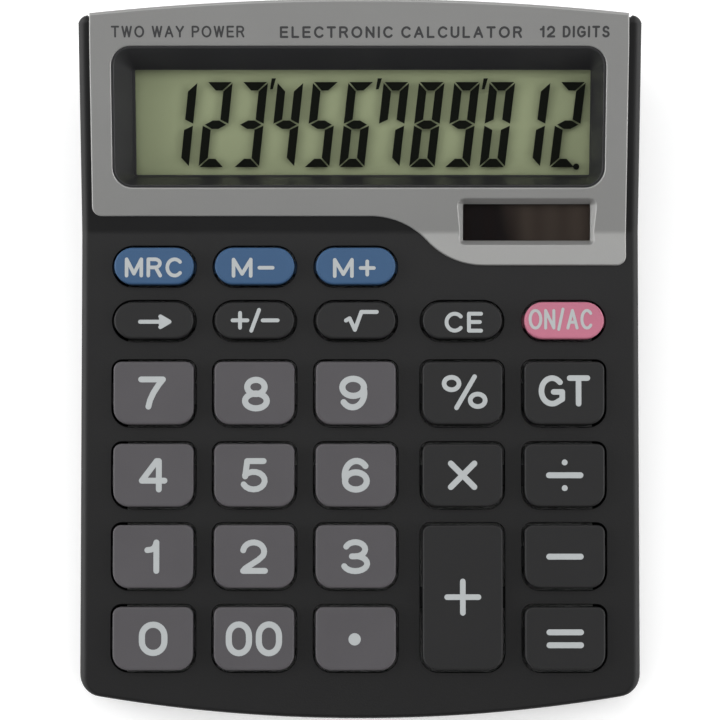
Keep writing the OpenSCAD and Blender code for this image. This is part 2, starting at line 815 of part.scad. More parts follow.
top_case();
bottom_case();
face_plate();
display_bezel();
lcd_glass();
lcd_reflector();
lcd_holder();
lcd_ribbon();
solar_window();
solar_cell();
solar_leads();
key_mat();
main_board();
chip_cover();
board_parts();
button_cell();
contact_plus();
contact_minus();
battery_leads();
battery_door();
case_screws();
board_screws();
foot(-1, foot_front_y);  // foot_front_left
foot(1, foot_front_y);  // foot_front_right
foot(-1, foot_rear_y);  // foot_rear_left
foot(1, foot_rear_y);  // foot_rear_right
for (k = keys) key(k);
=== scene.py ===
import math

import bpy
import numpy as np
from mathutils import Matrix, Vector
from mathutils.geometry import delaunay_2d_cdt


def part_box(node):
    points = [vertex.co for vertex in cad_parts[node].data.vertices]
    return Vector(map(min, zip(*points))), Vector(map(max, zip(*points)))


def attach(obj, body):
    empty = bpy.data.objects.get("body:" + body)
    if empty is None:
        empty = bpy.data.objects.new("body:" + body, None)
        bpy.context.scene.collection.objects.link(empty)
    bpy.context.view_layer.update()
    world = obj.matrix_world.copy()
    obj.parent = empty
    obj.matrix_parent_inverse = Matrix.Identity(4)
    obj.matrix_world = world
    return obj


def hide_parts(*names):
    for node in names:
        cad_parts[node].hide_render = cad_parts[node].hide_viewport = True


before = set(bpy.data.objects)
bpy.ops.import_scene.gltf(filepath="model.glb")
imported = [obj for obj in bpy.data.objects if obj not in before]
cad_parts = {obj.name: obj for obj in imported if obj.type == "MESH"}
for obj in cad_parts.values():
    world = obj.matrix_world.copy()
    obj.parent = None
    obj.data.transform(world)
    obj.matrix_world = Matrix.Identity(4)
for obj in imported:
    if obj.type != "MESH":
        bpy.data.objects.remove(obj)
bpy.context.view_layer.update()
print("frame loaded:", len(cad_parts), "nodes")

# the case as the CAD has it, in millimetres and degrees
caseShape = {
    "width": 105.0, "depth": 132.0, "frontHeight": 12.0, "keySlope": 5.5, "displaySlope": 20.5,
    "keyRun": 90.8, "frontBow": 4.7, "rearBow": 2.7, "frontCorner": 4.3, "rearCorner": 1.9,
    "sideRound": 1.6, "frontRound": 0.7, "rearRound": 1.2, "creaseRound": 4.0, "wall": 1.8,
    "seamFront": 6.0, "seamRear": 14.0, "holeRound": 0.15, "rearStep": 0.35, "stepHalf": 50.4,
}
keyTilt = math.radians(caseShape["keySlope"])
displayTilt = math.radians(caseShape["displaySlope"])
halfWidth = caseShape["width"] / 2
creaseY = caseShape["keyRun"] - caseShape["depth"] / 2
creaseZ = caseShape["frontHeight"] + caseShape["keyRun"] * math.tan(keyTilt)
keyLength = caseShape["keyRun"] / math.cos(keyTilt)
creaseHalf = caseShape["creaseRound"] * math.tan((displayTilt - keyTilt) / 2)
creaseLines = np.linspace(-creaseHalf, creaseHalf, 7)
onKeypad, onDisplay = -10, 10  # distances up the slope that are well away from the crease
frontBowRadius = (halfWidth**2 + caseShape["frontBow"] ** 2) / (2 * caseShape["frontBow"])
rearBowRadius = (halfWidth**2 + caseShape["rearBow"] ** 2) / (2 * caseShape["rearBow"])
rearBowY = caseShape["depth"] / 2 - rearBowRadius


# shapes: a surface is a function of two parameters on a grid, or a profile carried along an edge

def unit(v):
    return v / np.maximum(np.linalg.norm(v, axis=-1, keepdims=True), 1e-12)


# angle of the surface at distance s from the crease: it turns evenly from the keypad's tilt to the display's
def slopeAngle(s):
    return keyTilt + (displayTilt - keyTilt) * np.clip((s + creaseHalf) / (2 * creaseHalf), 0, 1)


# square to the surface at s
def slopeNormal(s):
    a = slopeAngle(np.asarray(s, float))
    return np.stack([0 * a, -np.sin(a), np.cos(a)], -1)


# up the slope at s
def slopeUp(s):
    a = slopeAngle(np.asarray(s, float))
    return np.stack([0 * a, np.cos(a), np.sin(a)], -1)


# direction across and up the slope at s, as a direction in space
def slopeDirection(q, s):
    return q[:, :1] * np.array([1, 0, 0]) + q[:, 1:] * slopeUp(s)


# point at x, distance s up the slope and height h: two straight lines joined by an arc tangent to both
def slopePoint(x, s, h):
    x, s, h = np.broadcast_arrays(np.asarray(x, float), s, h)
    r, n = caseShape["creaseRound"], slopeNormal(s)
    y = creaseY - creaseHalf * math.cos(keyTilt) - r * math.sin(keyTilt) - (r - h) * n[..., 1]
    z = creaseZ - creaseHalf * math.sin(keyTilt) + r * math.cos(keyTilt) - (r - h) * n[..., 2]
    below, above = np.minimum(s + creaseHalf, 0), np.maximum(s - creaseHalf, 0)
    y = y + below * math.cos(keyTilt) + above * math.cos(displayTilt)
    z = z + below * math.sin(keyTilt) + above * math.sin(displayTilt)
    return np.stack([x, y, z], -1)


# distance up the slope of a point in space
def slopeOf(p):
    a = np.where(p[..., 1] < creaseY, keyTilt, displayTilt)
    return (p[..., 1] - creaseY) * np.cos(a) + (p[..., 2] - creaseZ) * np.sin(a)


# ball of the given radius rolled along a sharp edge: its centre is at edge - r(top + side) / (1 + top.side),
# and the normal turns from top to side
def rolledEdge(edge, top, side, radius, steps=6):
    cosine = (top * side).sum(-1, keepdims=True)
    angle = np.arccos(np.clip(cosine, -1, 1))
    turn = np.linspace(0, 1, steps + 1).reshape(-1, 1, 1)
    normal = (np.sin((1 - turn) * angle) * top + np.sin(turn * angle) * side) / np.sin(angle)
    return edge - radius * (top + side) / (1 + cosine) + radius * normal, normal


# box outline with four corner radii, counter-clockwise from the front right: points and outward normals
def roundedBox(x0, x1, y0, y1, radii, steps=6):
    centres = [(x1, y0, -1, 1), (x1, y1, -1, -1), (x0, y1, 1, -1), (x0, y0, 1, 1)]
    points, normals = [], []
    for i, (x, y, sx, sy) in enumerate(centres):
        a = np.linspace(i * 90 - 90, i * 90, steps + 1) * math.pi / 180
        d = np.stack([np.cos(a), np.sin(a)], -1)
        points.append(np.array([x + sx * radii[i], y + sy * radii[i]]) + radii[i] * d)
        normals.append(d)
    return np.concatenate(points), np.concatenate(normals)


# triangles of a flat region between closed loops, which are runs of rows in points; lines are extra edges
def regionTriangles(points, loops, lines=()):
    edges = [(int(a), int(b)) for loop in loops for a, b in zip(loop, np.roll(loop, -1))]
    edges += [(int(a), int(b)) for a, b in lines]
    out = delaunay_2d_cdt([Vector(p) for p in points], edges, [], 0, 1e-7, True)
    first = np.array([(o or [0])[0] for o in out[3]])
    tris = first[np.array(out[2])]
    centre = points[tris].mean(1)
    inside = np.zeros(len(tris), bool)
    for loop in loops:
        a, b = points[loop], points[np.roll(loop, -1)]
        crosses = (a[:, 1] > centre[:, None, 1]) != (b[:, 1] > centre[:, None, 1])
        rise = np.where(b[:, 1] == a[:, 1], 1, b[:, 1] - a[:, 1])
        at = a[:, 0] + (centre[:, None, 1] - a[:, 1]) * (b[:, 0] - a[:, 0]) / rise
        inside ^= (crosses & (centre[:, None, 0] < at)).sum(1) % 2 == 1
    return tris[inside]


# pairs of points that lie on the same crease line, taken from left to right
def creaseRuns(points):
    lines = []
    for s in creaseLines:
        on = np.flatnonzero(np.abs(points[:, 1] - s) < 1e-5)
        on = on[np.argsort(points[on, 0])]
        lines += list(zip(on[0::2], on[1::2]))
    return lines


weldStep = 2e-4  # millimetres


# patches that are welded into one mesh, each keeping its own normals
class Skin:
    def __init__(self):
        self.points, self.normals, self.faces, self.count = [], [], [], 0

    def add(self, points, normals, faces):
        points, normals = points.reshape(-1, 3), np.broadcast_to(normals, points.shape).reshape(-1, 3)
        if faces.shape[1] == 3:
            faces = np.concatenate([faces, faces[:, 2:]], 1)
        self.points.append(points)
        self.normals.append(normals)
        self.faces.append(faces + self.count)
        self.count += len(points)

    # rows of points carried along a path; closed joins the last column to the first
    def patch(self, points, normals, closed=False):
        normals = np.broadcast_to(normals, points.shape)
        if closed:
            points = np.concatenate([points, points[:, :1]], 1)
            normals = np.concatenate([normals, normals[:, :1]], 1)
        rows, cols = points.shape[:2]
        i = (np.arange(rows - 1)[:, None] * cols + np.arange(cols - 1)).ravel()
        self.add(points, normals, np.stack([i, i + 1, i + cols + 1, i + cols], 1))

    # one strip between two loops, with a single normal for each column
    def strip(self, a, b, normal, closed=True):
        self.patch(np.stack([a, b]), np.broadcast_to(normal, (2,) + a.shape), closed)

    # a fan from a loop to its middle
    def cap(self, loop, normal):
        n = len(loop)
        i = np.arange(n)
        self.add(np.concatenate([loop, loop.mean(0, keepdims=True)]), np.asarray(normal, float),
                 np.stack([i, (i + 1) % n, np.full(n, n)], 1))

    # points on the same cell of a fine grid become one; faces turn the way their normals point, and flat ones go
    def piece(self, name, body, slot, material, replaces=()):
        points, normals, faces = (np.concatenate(a) for a in (self.points, self.normals, self.faces))
        cells = np.round(points / weldStep).astype(np.int64)
        first, cell = np.unique(cells, axis=0, return_index=True, return_inverse=True)[1:]
        order = np.argsort(first)
        rank = np.empty(len(order), np.int64)
        rank[order] = np.arange(len(order))
        points = points[first[order]]
        quad, corner = rank[cell.ravel()][faces], unit(normals[faces])
        side = points[quad]
        area = np.cross(side[:, 2] - side[:, 0], side[:, 3] - side[:, 1])
        three = faces[:, 2] == faces[:, 3]
        area[three] = np.cross(side[:, 1] - side[:, 0], side[:, 2] - side[:, 0])[three]
        flip = (area * corner.sum(1)).sum(-1) < 0
        quad[flip], corner[flip] = quad[flip][:, ::-1], corner[flip][:, ::-1]
        same = quad == np.roll(quad, -1, 1)
        keep = (same.sum(1) < 2) & (quad[:, 0] != quad[:, 2]) & (quad[:, 1] != quad[:, 3])
        used = ~same[keep]
        rings = np.split(quad[keep][used], np.cumsum(used.sum(1))[:-1])
        mesh = bpy.data.meshes.new(name)
        mesh.from_pydata((points / 1000).tolist(), [], [ring.tolist() for ring in rings])
        mesh.polygons.foreach_set("use_smooth", [True] * len(rings))
        mesh.normals_split_custom_set(corner[keep][used].tolist())
        mesh.materials.append(material)
        piece = bpy.data.objects.new(name, mesh)
        bpy.context.scene.collection.objects.link(piece)
        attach(piece, body)
        if replaces:
            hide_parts(*replaces)
        return piece


# a number on a socket: arithmetic on it adds Math nodes
class Wire:
    def __init__(self, finish, socket):
        self.finish, self.socket = finish, socket

    def math(self, operation, *values):
        return self.finish.make("ShaderNodeMath", {"operation": operation}, dict(enumerate(values)))

    def __add__(self, other):
        return self.math("ADD", self, other)

    def __sub__(self, other):
        return self.math("SUBTRACT", self, other)

    def __rsub__(self, other):
        return self.math("SUBTRACT", other, self)

    def __mul__(self, other):
        return self.math("MULTIPLY", self, other)

    __radd__, __rmul__ = __add__, __mul__


class Nodes:
    def __init__(self, owner, kind):
        owner.use_nodes = True
        self.tree = owner.node_tree
        self.tree.nodes.clear()
        self.out = self.tree.nodes.new(kind)

    # a node of any kind: settings first, then its sockets as values or wires
    def make(self, kind, settings, sockets, output=0):
        node = self.tree.nodes.new(kind)
        for key, value in settings.items():
            setattr(node, key, value)
        for key, value in sockets.items():
            if isinstance(value, Wire):
                self.tree.links.new(value.socket, node.inputs[key])
            else:
                node.inputs[key].default_value = value
        return Wire(self, node.outputs[output])

    def surface(self, shader):
        self.tree.links.new(shader.socket, self.out.inputs["Surface"])


class Finish(Nodes):
    def __init__(self, name, **sockets):
        self.material = bpy.data.materials.new(name)
        super().__init__(self.material, "ShaderNodeOutputMaterial")
        self.shader = self.make("ShaderNodeBsdfPrincipled", {}, sockets)
        self.surface(self.shader)
        self.place = self.make("ShaderNodeTexCoord", {}, {}, "Object")

    def feed(self, **sockets):
        node = self.shader.socket.node
        for key, value in sockets.items():
            self.tree.links.new(value.socket, node.inputs[key.replace("_", " ")])

    # noise with features of the given size in millimetres
    def noise(self, size, detail=3.0, rough=0.5):
        return self.make("ShaderNodeTexNoise", {},
                         {"Vector": self.place, "Scale": 1000 / size, "Detail": detail, "Roughness": rough})

    def mix(self, share, a, b):
        colours = {6: (*a, 1) if isinstance(a, tuple) else a, 7: (*b, 1) if isinstance(b, tuple) else b}
        return self.make("ShaderNodeMix", {"data_type": "RGBA"}, {0: share, **colours}, 2)

    def bump(self, height, depth):
        self.feed(Normal=self.make("ShaderNodeBump", {}, {"Height": height, "Distance": depth / 1000}))


# moulded plastic and the like: fine grain in the bump, soft clouds in colour and roughness
def moulded(name, colour, roughness, grain=0.35, depth=0.02, cloud=9.0, shift=0.12, **sockets):
    f = Finish(name, **sockets)
    clouds, fine = f.noise(cloud, 2.0), f.noise(grain, 4.0, 0.6)
    dark, light = tuple(c * (1 - shift) for c in colour), tuple(c * (1 + shift) for c in colour)
    f.feed(Base_Color=f.mix(clouds * 0.7 + fine * 0.3, dark, light))
    f.feed(Roughness=clouds * 0.08 + fine * 0.06 + (roughness - 0.07))
    f.bump(fine, depth)
    return f.material


# silver paint: metal flakes under a satin coat
def silverPaint(name, colour):
    f = Finish(name, Metallic=0.6, **{"Coat Weight": 0.15, "Coat Roughness": 0.3})
    flake = f.make("ShaderNodeTexVoronoi", {}, {"Vector": f.place, "Scale": 1000 / 0.16})
    clouds, fine = f.noise(14.0, 2.0), f.noise(0.3, 3.0)
    share = flake * 0.25 + clouds * 0.45 + fine * 0.3
    f.feed(Base_Color=f.mix(share, tuple(c * 0.92 for c in colour), tuple(c * 1.08 for c in colour)))
    f.feed(Roughness=fine * 0.08 + flake * 0.05 + 0.4)
    f.bump(fine + flake * 0.4, 0.008)
    return f.material


# clear or tinted window: it lets light straight through and mirrors a little more at a glancing angle
def window(name, tint, gloss, through):
    f = Finish(name, Roughness=0.08)
    f.feed(Base_Color=f.mix(f.noise(30.0), tuple(c * 0.96 for c in tint), tint))
    clear = f.make("ShaderNodeBsdfTransparent", {}, {"Color": (*through, 1)})
    glance = f.make("ShaderNodeLayerWeight", {}, {"Blend": gloss}, "Fresnel")
    share = glance + f.noise(30.0) * 0.004
    mixed = f.make("ShaderNodeMixShader", {}, {0: share, 1: clear, 2: f.shader})
    f.surface(mixed)
    return f.material


def brushed(name, colour, roughness):
    f = Finish(name, Metallic=1.0)
    fine, clouds = f.noise(0.12, 3.0), f.noise(4.0, 2.0)
    f.feed(Base_Color=f.mix(clouds, tuple(c * 0.85 for c in colour), colour))
    f.feed(Roughness=fine * 0.12 + (roughness - 0.06))
    f.bump(fine, 0.004)
    return f.material


dull = {"Specular IOR Level": 0.22}
finishes = {
    "case_black": moulded("caseBlack", (0.0044, 0.0044, 0.0047), 0.48, **{"Specular IOR Level": 0.28}),
    "base_black": moulded("baseBlack", (0.010, 0.010, 0.0105), 0.6, **dull),
    "silver_paint": silverPaint("silverPaint", (0.29, 0.29, 0.284)),
    "bezel_black": moulded("surroundBlack", (0.017, 0.017, 0.0185), 0.36, grain=0.25, depth=0.008,
                           **{"Specular IOR Level": 0.5}),
    "clear_glass": window("displayGlass", (0.01, 0.012, 0.01), 0.08, (0.985, 0.99, 0.98)),
    "lcd_reflector": moulded("displayBack", (0.348, 0.382, 0.24), 0.7, grain=0.1, depth=0.002, cloud=40.0, shift=0.02,
                             **{"Specular IOR Level": 0.1}),
    "inner_white": moulded("innerWhite", (0.7, 0.7, 0.68), 0.5),
    "film_brown": moulded("filmBrown", (0.25, 0.1, 0.04), 0.3, depth=0.004),
    "solar_tint": window("solarTint", (0.05, 0.04, 0.04), 0.25, (0.95, 0.9, 0.87)),
    "wire_red": moulded("wireRed", (0.5, 0.03, 0.02), 0.4, depth=0.005),
    "wire_black": moulded("wireBlack", (0.02, 0.02, 0.02), 0.4, depth=0.005),
    "silicone": moulded("silicone", (0.5, 0.5, 0.5), 0.65, depth=0.01),
    "board_green": moulded("boardGreen", (0.03, 0.17, 0.07), 0.35, depth=0.006),
    "resin_black": moulded("resinBlack", (0.012, 0.012, 0.012), 0.2, grain=1.5, depth=0.05),
    "component": moulded("component", (0.35, 0.2, 0.08), 0.45, depth=0.01),
    "cell_steel": brushed("cellSteel", (0.75, 0.75, 0.76), 0.28),
    "contact_metal": brushed("contactMetal", (0.8, 0.62, 0.3), 0.3),
    "screw_steel": brushed("screwSteel", (0.55, 0.56, 0.58), 0.35),
    "foot_rubber": moulded("footRubber", (0.02, 0.02, 0.02), 0.85, grain=0.5, depth=0.04),
    "key_grey": moulded("keyGrey", (0.0755, 0.0715, 0.077), 0.5, grain=0.3, depth=0.012, **dull),
    "key_black": moulded("keyBlack", (0.0135, 0.0135, 0.014), 0.5, grain=0.3, depth=0.012, **dull),
    "key_blue": moulded("keyBlue", (0.036, 0.085, 0.172), 0.5, grain=0.3, depth=0.012, **dull),
    "key_pink": moulded("keyPink", (0.44, 0.145, 0.21), 0.5, grain=0.3, depth=0.012, **dull),
}


# the cell: dark strips side by side, darker at the left
def solarStrips():
    f = Finish("solarStrips", Roughness=0.3, **{"Specular IOR Level": 0.1})
    x = f.make("ShaderNodeSeparateXYZ", {}, {0: f.place}, 0)
    y = f.make("ShaderNodeSeparateXYZ", {}, {0: f.place}, 1)
    strips = x.math("SINE", x * 1350.0) * 0.5 + 0.5
    edge = f.make("ShaderNodeMapRange", {"interpolation_type": "SMOOTHSTEP"},
                  {0: x + y * 0.25, 1: 0.0325, 2: 0.0385, 3: 0.0, 4: 1.0})
    base = f.mix(edge, (0.0115, 0.013, 0.017), (0.1, 0.098, 0.092))
    f.feed(Base_Color=f.mix(strips * 0.22, base, (0.02, 0.014, 0.014)))
    return f.material


finishes["solar_dark"] = solarStrips()
inkLight = moulded("legendPaint", (0.395, 0.415, 0.42), 0.5, grain=0.3, depth=0.006, shift=0.05, **dull)
inkPanel = moulded("panelInk", (0.03, 0.03, 0.032), 0.5, grain=0.3, depth=0.004, shift=0.05)
inkSegment = moulded("segmentInk", (0.006, 0.007, 0.005), 0.6, grain=0.3, depth=0.001, shift=0.05,
                     **{"Specular IOR Level": 0.05})
print("finishes made:", len(finishes) + 3)

# the keys: cap, skirt, stem and side tabs in millimetres, and which finish each has
keyTop = {"height": 2.0, "round": 0.42, "skin": 1.2, "skirt": 2.75, "stem": 2.2, "stemDepth": 3.55,
          "tabOut": 1.25, "tabTop": 1.85, "tabHalf": 2.0, "ovalTabHalf": 1.2, "tabInside": 0.3,
          "gap": 0.45, "rearRadius": 1.5, "frontRadius": 3.0}
ovalKeys = ["mrc", "m_minus", "m_plus", "back", "sign", "root", "ce", "on_ac"]
keySlots = {"mrc": "key_blue", "m_minus": "key_blue", "m_plus": "key_blue", "on_ac": "key_pink"}
keySlots.update({k: "key_grey" for k in "7 8 9 4 5 6 1 2 3 0 00 point".split()})


# where a key's cap stands on the keypad: middle, width and depth, read from its CAD node along the slope
def keyPlace(node):
    co = np.array([v.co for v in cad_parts[node].data.vertices], float) * 1000
    s = (co[:, 1] - creaseY) * math.cos(keyTilt) + (co[:, 2] - creaseZ) * math.sin(keyTilt)
    h = (co[:, 2] - creaseZ) * math.cos(keyTilt) - (co[:, 1] - creaseY) * math.sin(keyTilt)
    cap = h > 0
    lo = np.array([co[cap, 0].min(), s[cap].min()])
    hi = np.array([co[cap, 0].max(), s[cap].max()])
    return (lo + hi) / 2, hi - lo, h.max()


def keyOutline(name, centre, size, steps=7):
    w, d = size / 2
    front, rear = keyTop["frontRadius"], keyTop["rearRadius"]
    radii = [d] * 4 if name in ovalKeys else [front, rear, rear, front]
    points, normals = roundedBox(-w, w, -d, d, radii, steps + 2 * (name in ovalKeys))
    return points + centre, normals


# outline moved out by m at height h, as points in space, with normals that lean out and up
def keyRow(points, normals, m, h):
    p = points + m * normals
    return slopePoint(p[:, 0], p[:, 1], h)


def makeKey(name, node, centre, size):
    skin, t = Skin(), keyTop
    points, normals = keyOutline(name, centre, size)
    out = slopeDirection(normals, onKeypad)
    up = np.broadcast_to(slopeNormal(onKeypad), out.shape)
    top, bottom = t["height"], -t["skirt"]
    rim, rimNormals = rolledEdge(keyRow(points, normals, 0, top), up, out, t["round"])
    skin.patch(rim, rimNormals, True)
    skin.cap(rim[0], up[0])
    outer, inner = keyRow(points, normals, 0, bottom), keyRow(points, normals, -t["skin"], bottom)
    ceiling = keyRow(points, normals, -t["skin"], top - t["skin"])
    skin.strip(rim[-1], outer, out)
    skin.strip(outer, inner, -up)
    skin.strip(inner, ceiling, -out)
    skin.cap(ceiling, -up[0])
    # the stem and the two side tabs
    a = np.linspace(0, 2 * math.pi, 25)[:-1]
    ring = np.stack([np.cos(a), np.sin(a)], -1)
    r = min(t["stem"], size[1] / 2 - t["skin"] - 0.05)
    ringOut = slopeDirection(ring, onKeypad)
    stemTop, stemEnd = (keyRow(np.tile(centre, (24, 1)), ring, r, h) for h in (top - 0.6 * t["skin"], -t["stemDepth"]))
    skin.strip(stemTop, stemEnd, ringOut)
    skin.cap(stemEnd, -up[0])
    skin.cap(stemTop, up[0])
    half = t["ovalTabHalf"] if name in ovalKeys else t["tabHalf"]
    for sign in (-1, 1):
        near, tip = (centre[0] + sign * (size[0] / 2 + d) for d in (-t["tabInside"], t["tabOut"]))
        x = np.array([near, tip, tip, near])
        s = centre[1] + np.array([-half, -half, half, half])
        lower, upper = slopePoint(x, s, bottom), slopePoint(x, s, -t["tabTop"])
        box = np.stack([lower, upper])
        faceOut = np.array([-slopeUp(onKeypad), [sign, 0, 0], slopeUp(onKeypad), [-sign, 0, 0]])
        for i in range(4):
            j = (i + 1) % 4
            skin.patch(box[:, [i, j]], faceOut[i])
        skin.cap(lower, -up[0])
        skin.cap(upper, up[0])
    return skin.piece("cap_" + name, "key_" + name + "_body", keySlots.get(name, "key_black"),
                      finishes[keySlots.get(name, "key_black")], [node])


keyNodes = [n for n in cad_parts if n.startswith("key_") and n != "key_mat"]
keyPlaces = {n[4:]: keyPlace(n) for n in sorted(keyNodes)}
for name, (centre, size, _) in keyPlaces.items():
    makeKey(name, "key_" + name, centre, size)
print("key caps made:", len(keyPlaces))


# drawn marks: strokes with round ends, in a box one unit high; x + rx cos a, y + ry sin a
def curve(x, y, rx, ry, a0, a1, steps=14):
    a = np.radians(np.linspace(a0, a1, steps + 1))
    return np.stack([x + rx * np.cos(a), y + ry * np.sin(a)], -1).tolist()


def oval(x, y, rx, ry, steps=14):
    return [curve(x, y, rx, ry, 0, 180, steps), curve(x, y, rx, ry, 180, 360, steps)]


glyphs = {
    "0": [curve(.4, .6, .4, .4, 0, 180) + curve(.4, .4, .4, .4, 180, 270, 7),
          curve(.4, .4, .4, .4, 270, 360, 7) + [(.8, .6)]],
    "1": [[(0, .73), (.14, .75), (.24, .81), (.3, .92), (.32, 1)], [(.32, 1), (.32, 0)]],
    "2": [curve(.4, .68, .37, .32, 172, -28) + [(.56, .38), (.25, .18), (.1, .08), (.03, 0)], [(.03, 0), (.8, 0)]],
    "3": [curve(.38, .755, .34, .245, 158, -90), [(.26, .51), (.4, .51)], curve(.38, .26, .41, .26, 85, -160)],
    "4": [[(.6, 0), (.6, 1)], [(.6, 1), (.52, 1), (0, .31)], [(0, .31), (.8, .31)]],
    "5": [[(.72, 1), (.14, 1)], [(.14, 1), (.07, .46)], curve(.37, .31, .39, .31, 142, -155)],
    "6": [*oval(.4, .3, .38, .3), curve(.42, .5, .41, .5, 40, 200)],
    "7": [[(0, 1), (.8, 1)], [(.8, 1), (.64, .8), (.46, .52), (.33, .24), (.27, 0)]],
    "8": [*oval(.4, .75, .32, .25), *oval(.4, .26, .4, .26)],
    "9": [*oval(.4, .7, .38, .3), curve(.38, .5, .41, .5, 220, 380)],
    "A": [[(0, 0), (.38, 1)], [(.38, 1), (.76, 0)], [(.13, .33), (.63, .33)]],
    "C": [curve(.42, .5, .42, .5, 42, 318, 24)],
    "D": [[(0, 0), (0, 1), (.28, 1)], curve(.28, .5, .42, .5, 90, -90), [(0, 0), (.28, 0)]],
    "E": [[(.62, 1), (0, 1), (0, 0), (.62, 0)], [(0, .51), (.56, .51)]],
    "G": [curve(.42, .5, .42, .5, 42, 300, 24), [(.63, .07), (.82, .18), (.82, .46)], [(.82, .46), (.48, .46)]],
    "I": [[(0, 0), (0, 1)]],
    "L": [[(0, 1), (0, 0), (.55, 0)]],
    "M": [[(0, 0), (0, 1), (.42, .12), (.84, 1), (.84, 0)]],
    "N": [[(0, 0), (0, 1), (.68, 0), (.68, 1)]],
    "O": oval(.44, .5, .44, .5, 18),
    "P": [[(0, 0), (0, 1), (.36, 1)], curve(.36, .74, .28, .26, 90, -90), [(.36, .48), (0, .48)]],
    "R": [[(0, 0), (0, 1), (.38, 1)], curve(.38, .75, .28, .25, 90, -90), [(.38, .5), (0, .5)], [(.42, .5), (.68, 0)]],
    "S": [curve(.33, .75, .29, .25, 20, 270), curve(.33, .25, .33, .25, 90, -160)],
    "T": [[(0, 1), (.7, 1)], [(.35, 1), (.35, 0)]],
    "U": [[(0, 1), (0, .32)] + curve(.33, .32, .33, .32, 190, 350) + [(.66, .32), (.66, 1)]],
    "W": [[(0, 1), (.24, 0), (.48, 1), (.72, 0), (.96, 1)]],
    "Y": [[(0, 1), (.36, .45), (.72, 1)], [(.36, .45), (.36, 0)]],
    "/": [[(0, -.08), (.36, 1.08)]],
    "+": [[(0, .5), (1, .5)], [(.5, 0), (.5, 1)]],
    "-": [[(0, .5), (1, .5)]],
    "=": [[(0, 0), (1, 0)], [(0, 1), (1, 1)]],
    "x": [[(0, 0), (1, 1)], [(0, 1), (1, 0)]],
    "d": [[(0, .5), (1, .5)], [(.5, 1), (.502, 1)], [(.5, 0), (.502, 0)]],
    "%": [*oval(.24, .78, .24, .2), *oval(1.08, .24, .24, .2), [(.4, 0), (.98, 1)]],
    "root": [[(0, .52), (.2, .64)], [(.2, .64), (.5, 0)], [(.5, 0), (.86, 1)], [(.86, 1), (1.72, 1)]],
    "arrow": [[(0, .5), (2.5, .5)], [(1.9, 1), (2.75, .5)], [(2.75, .5), (1.9, 0)],
              [(1.95, .75), (2.6, .5)], [(2.6, .5), (1.95, .25)]],
    ".": [[(0, 0), (.002, 0)]],
}


# outlines of a stroke: both sides moved off the line by half the width, with half-round ends; it parts at sharp turns
def strokeOutlines(line, half):
    line = np.asarray(line, float)
    if np.ptp(line, axis=0).max() < 0.02:  # a dot
        a = np.linspace(0, 6.28, 33)[:-1]
        return [line[0] + half * np.stack([np.cos(a), np.sin(a)], -1)]
    step = unit(np.diff(line, axis=0))
    sharp = np.flatnonzero((step[1:] * step[:-1]).sum(1) < 0.8) + 1
    outlines = []
    for a, b in zip([0, *sharp], [*sharp, len(line) - 1]):
        run = line[a:b + 1]
        d = unit(np.diff(run, axis=0))
        along = unit(np.concatenate([d[:1], d[1:] + d[:-1], d[-1:]]))
        side = np.stack([-along[:, 1], along[:, 0]], -1)
        turn = np.linspace(0, math.pi, 8)[1:-1, None]
        tip = run[-1] + half * (np.cos(turn) * -side[-1] + np.sin(turn) * along[-1])
        tail = run[0] + half * (np.cos(turn) * side[0] - np.sin(turn) * along[0])
        outlines.append(np.concatenate([run - half * side, tip, (run + half * side)[::-1], tail]))
    return outlines


# text as outlines: each mark is scaled to its box, then set one after another
def writing(marks, height, stroke, squeeze=1.0, spacing=0.35):
    x, outlines = 0.0, []
    h = height - stroke
    for mark in marks:
        if mark == " ":
            x += height * 0.45
            continue
        # a bar's width is the squeeze itself, in millimetres
        lines = [np.asarray(line, float) * [squeeze if mark in "-=d" else h * squeeze, h] for line in glyphs[mark]]
        right = max(line[:, 0].max() for line in lines)
        outlines += [o + [x + stroke / 2, stroke / 2] for line in lines for o in strokeOutlines(line, stroke / 2)]
        x += right + stroke + height * spacing * squeeze
    return outlines


# union of overlapping outlines as triangles: those that lie in any outline are kept
def inkTriangles(outlines):
    spin = [(o[:, 0] * np.roll(o[:, 1], -1) - o[:, 1] * np.roll(o[:, 0], -1)).sum() for o in outlines]
    outlines = [o if a > 0 else o[::-1] for o, a in zip(outlines, spin)]
    points = np.concatenate(outlines)
    starts = np.cumsum([0] + [len(o) for o in outlines])
    rings = [list(range(a, b)) for a, b in zip(starts[:-1], starts[1:])]
    out = delaunay_2d_cdt([Vector(p) for p in points], [], rings, 0, 1e-5, True)
    tris = np.array([t for t, of in zip(out[2], out[5]) if of])
    return np.array([tuple(v) for v in out[0]]), tris


# a mark as a thin raised solid on the slope: x across, s up, between two heights
def raisedMark(skin, points, tris, low, high):
    top, under = slopePoint(points[:, 0], points[:, 1], high), slopePoint(points[:, 0], points[:, 1], low)
    up = slopeNormal(points[:, 1])
    skin.add(top, up, tris)
    skin.add(under, -up, tris)
    pairs = np.concatenate([tris[:, [0, 1]], tris[:, [1, 2]], tris[:, [2, 0]]])
    apex = np.concatenate([tris[:, 2], tris[:, 0], tris[:, 1]])
    first, count = np.unique(np.sort(pairs, 1), axis=0, return_index=True, return_counts=True)[1:]
    rim, inner = pairs[first[count == 1]], apex[first[count == 1]]
    away = (top[rim[:, 0]] + top[rim[:, 1]]) / 2 - top[inner]
    along = unit(top[rim[:, 1]] - top[rim[:, 0]])
    away = unit(away - (away * along).sum(1, keepdims=True) * along)
    corners = np.stack([top[rim[:, 0]], top[rim[:, 1]], under[rim[:, 1]], under[rim[:, 0]]], 1)
    n = len(rim)
    skin.add(corners.reshape(-1, 3), np.repeat(away, 4, 0), np.arange(4 * n).reshape(n, 4))


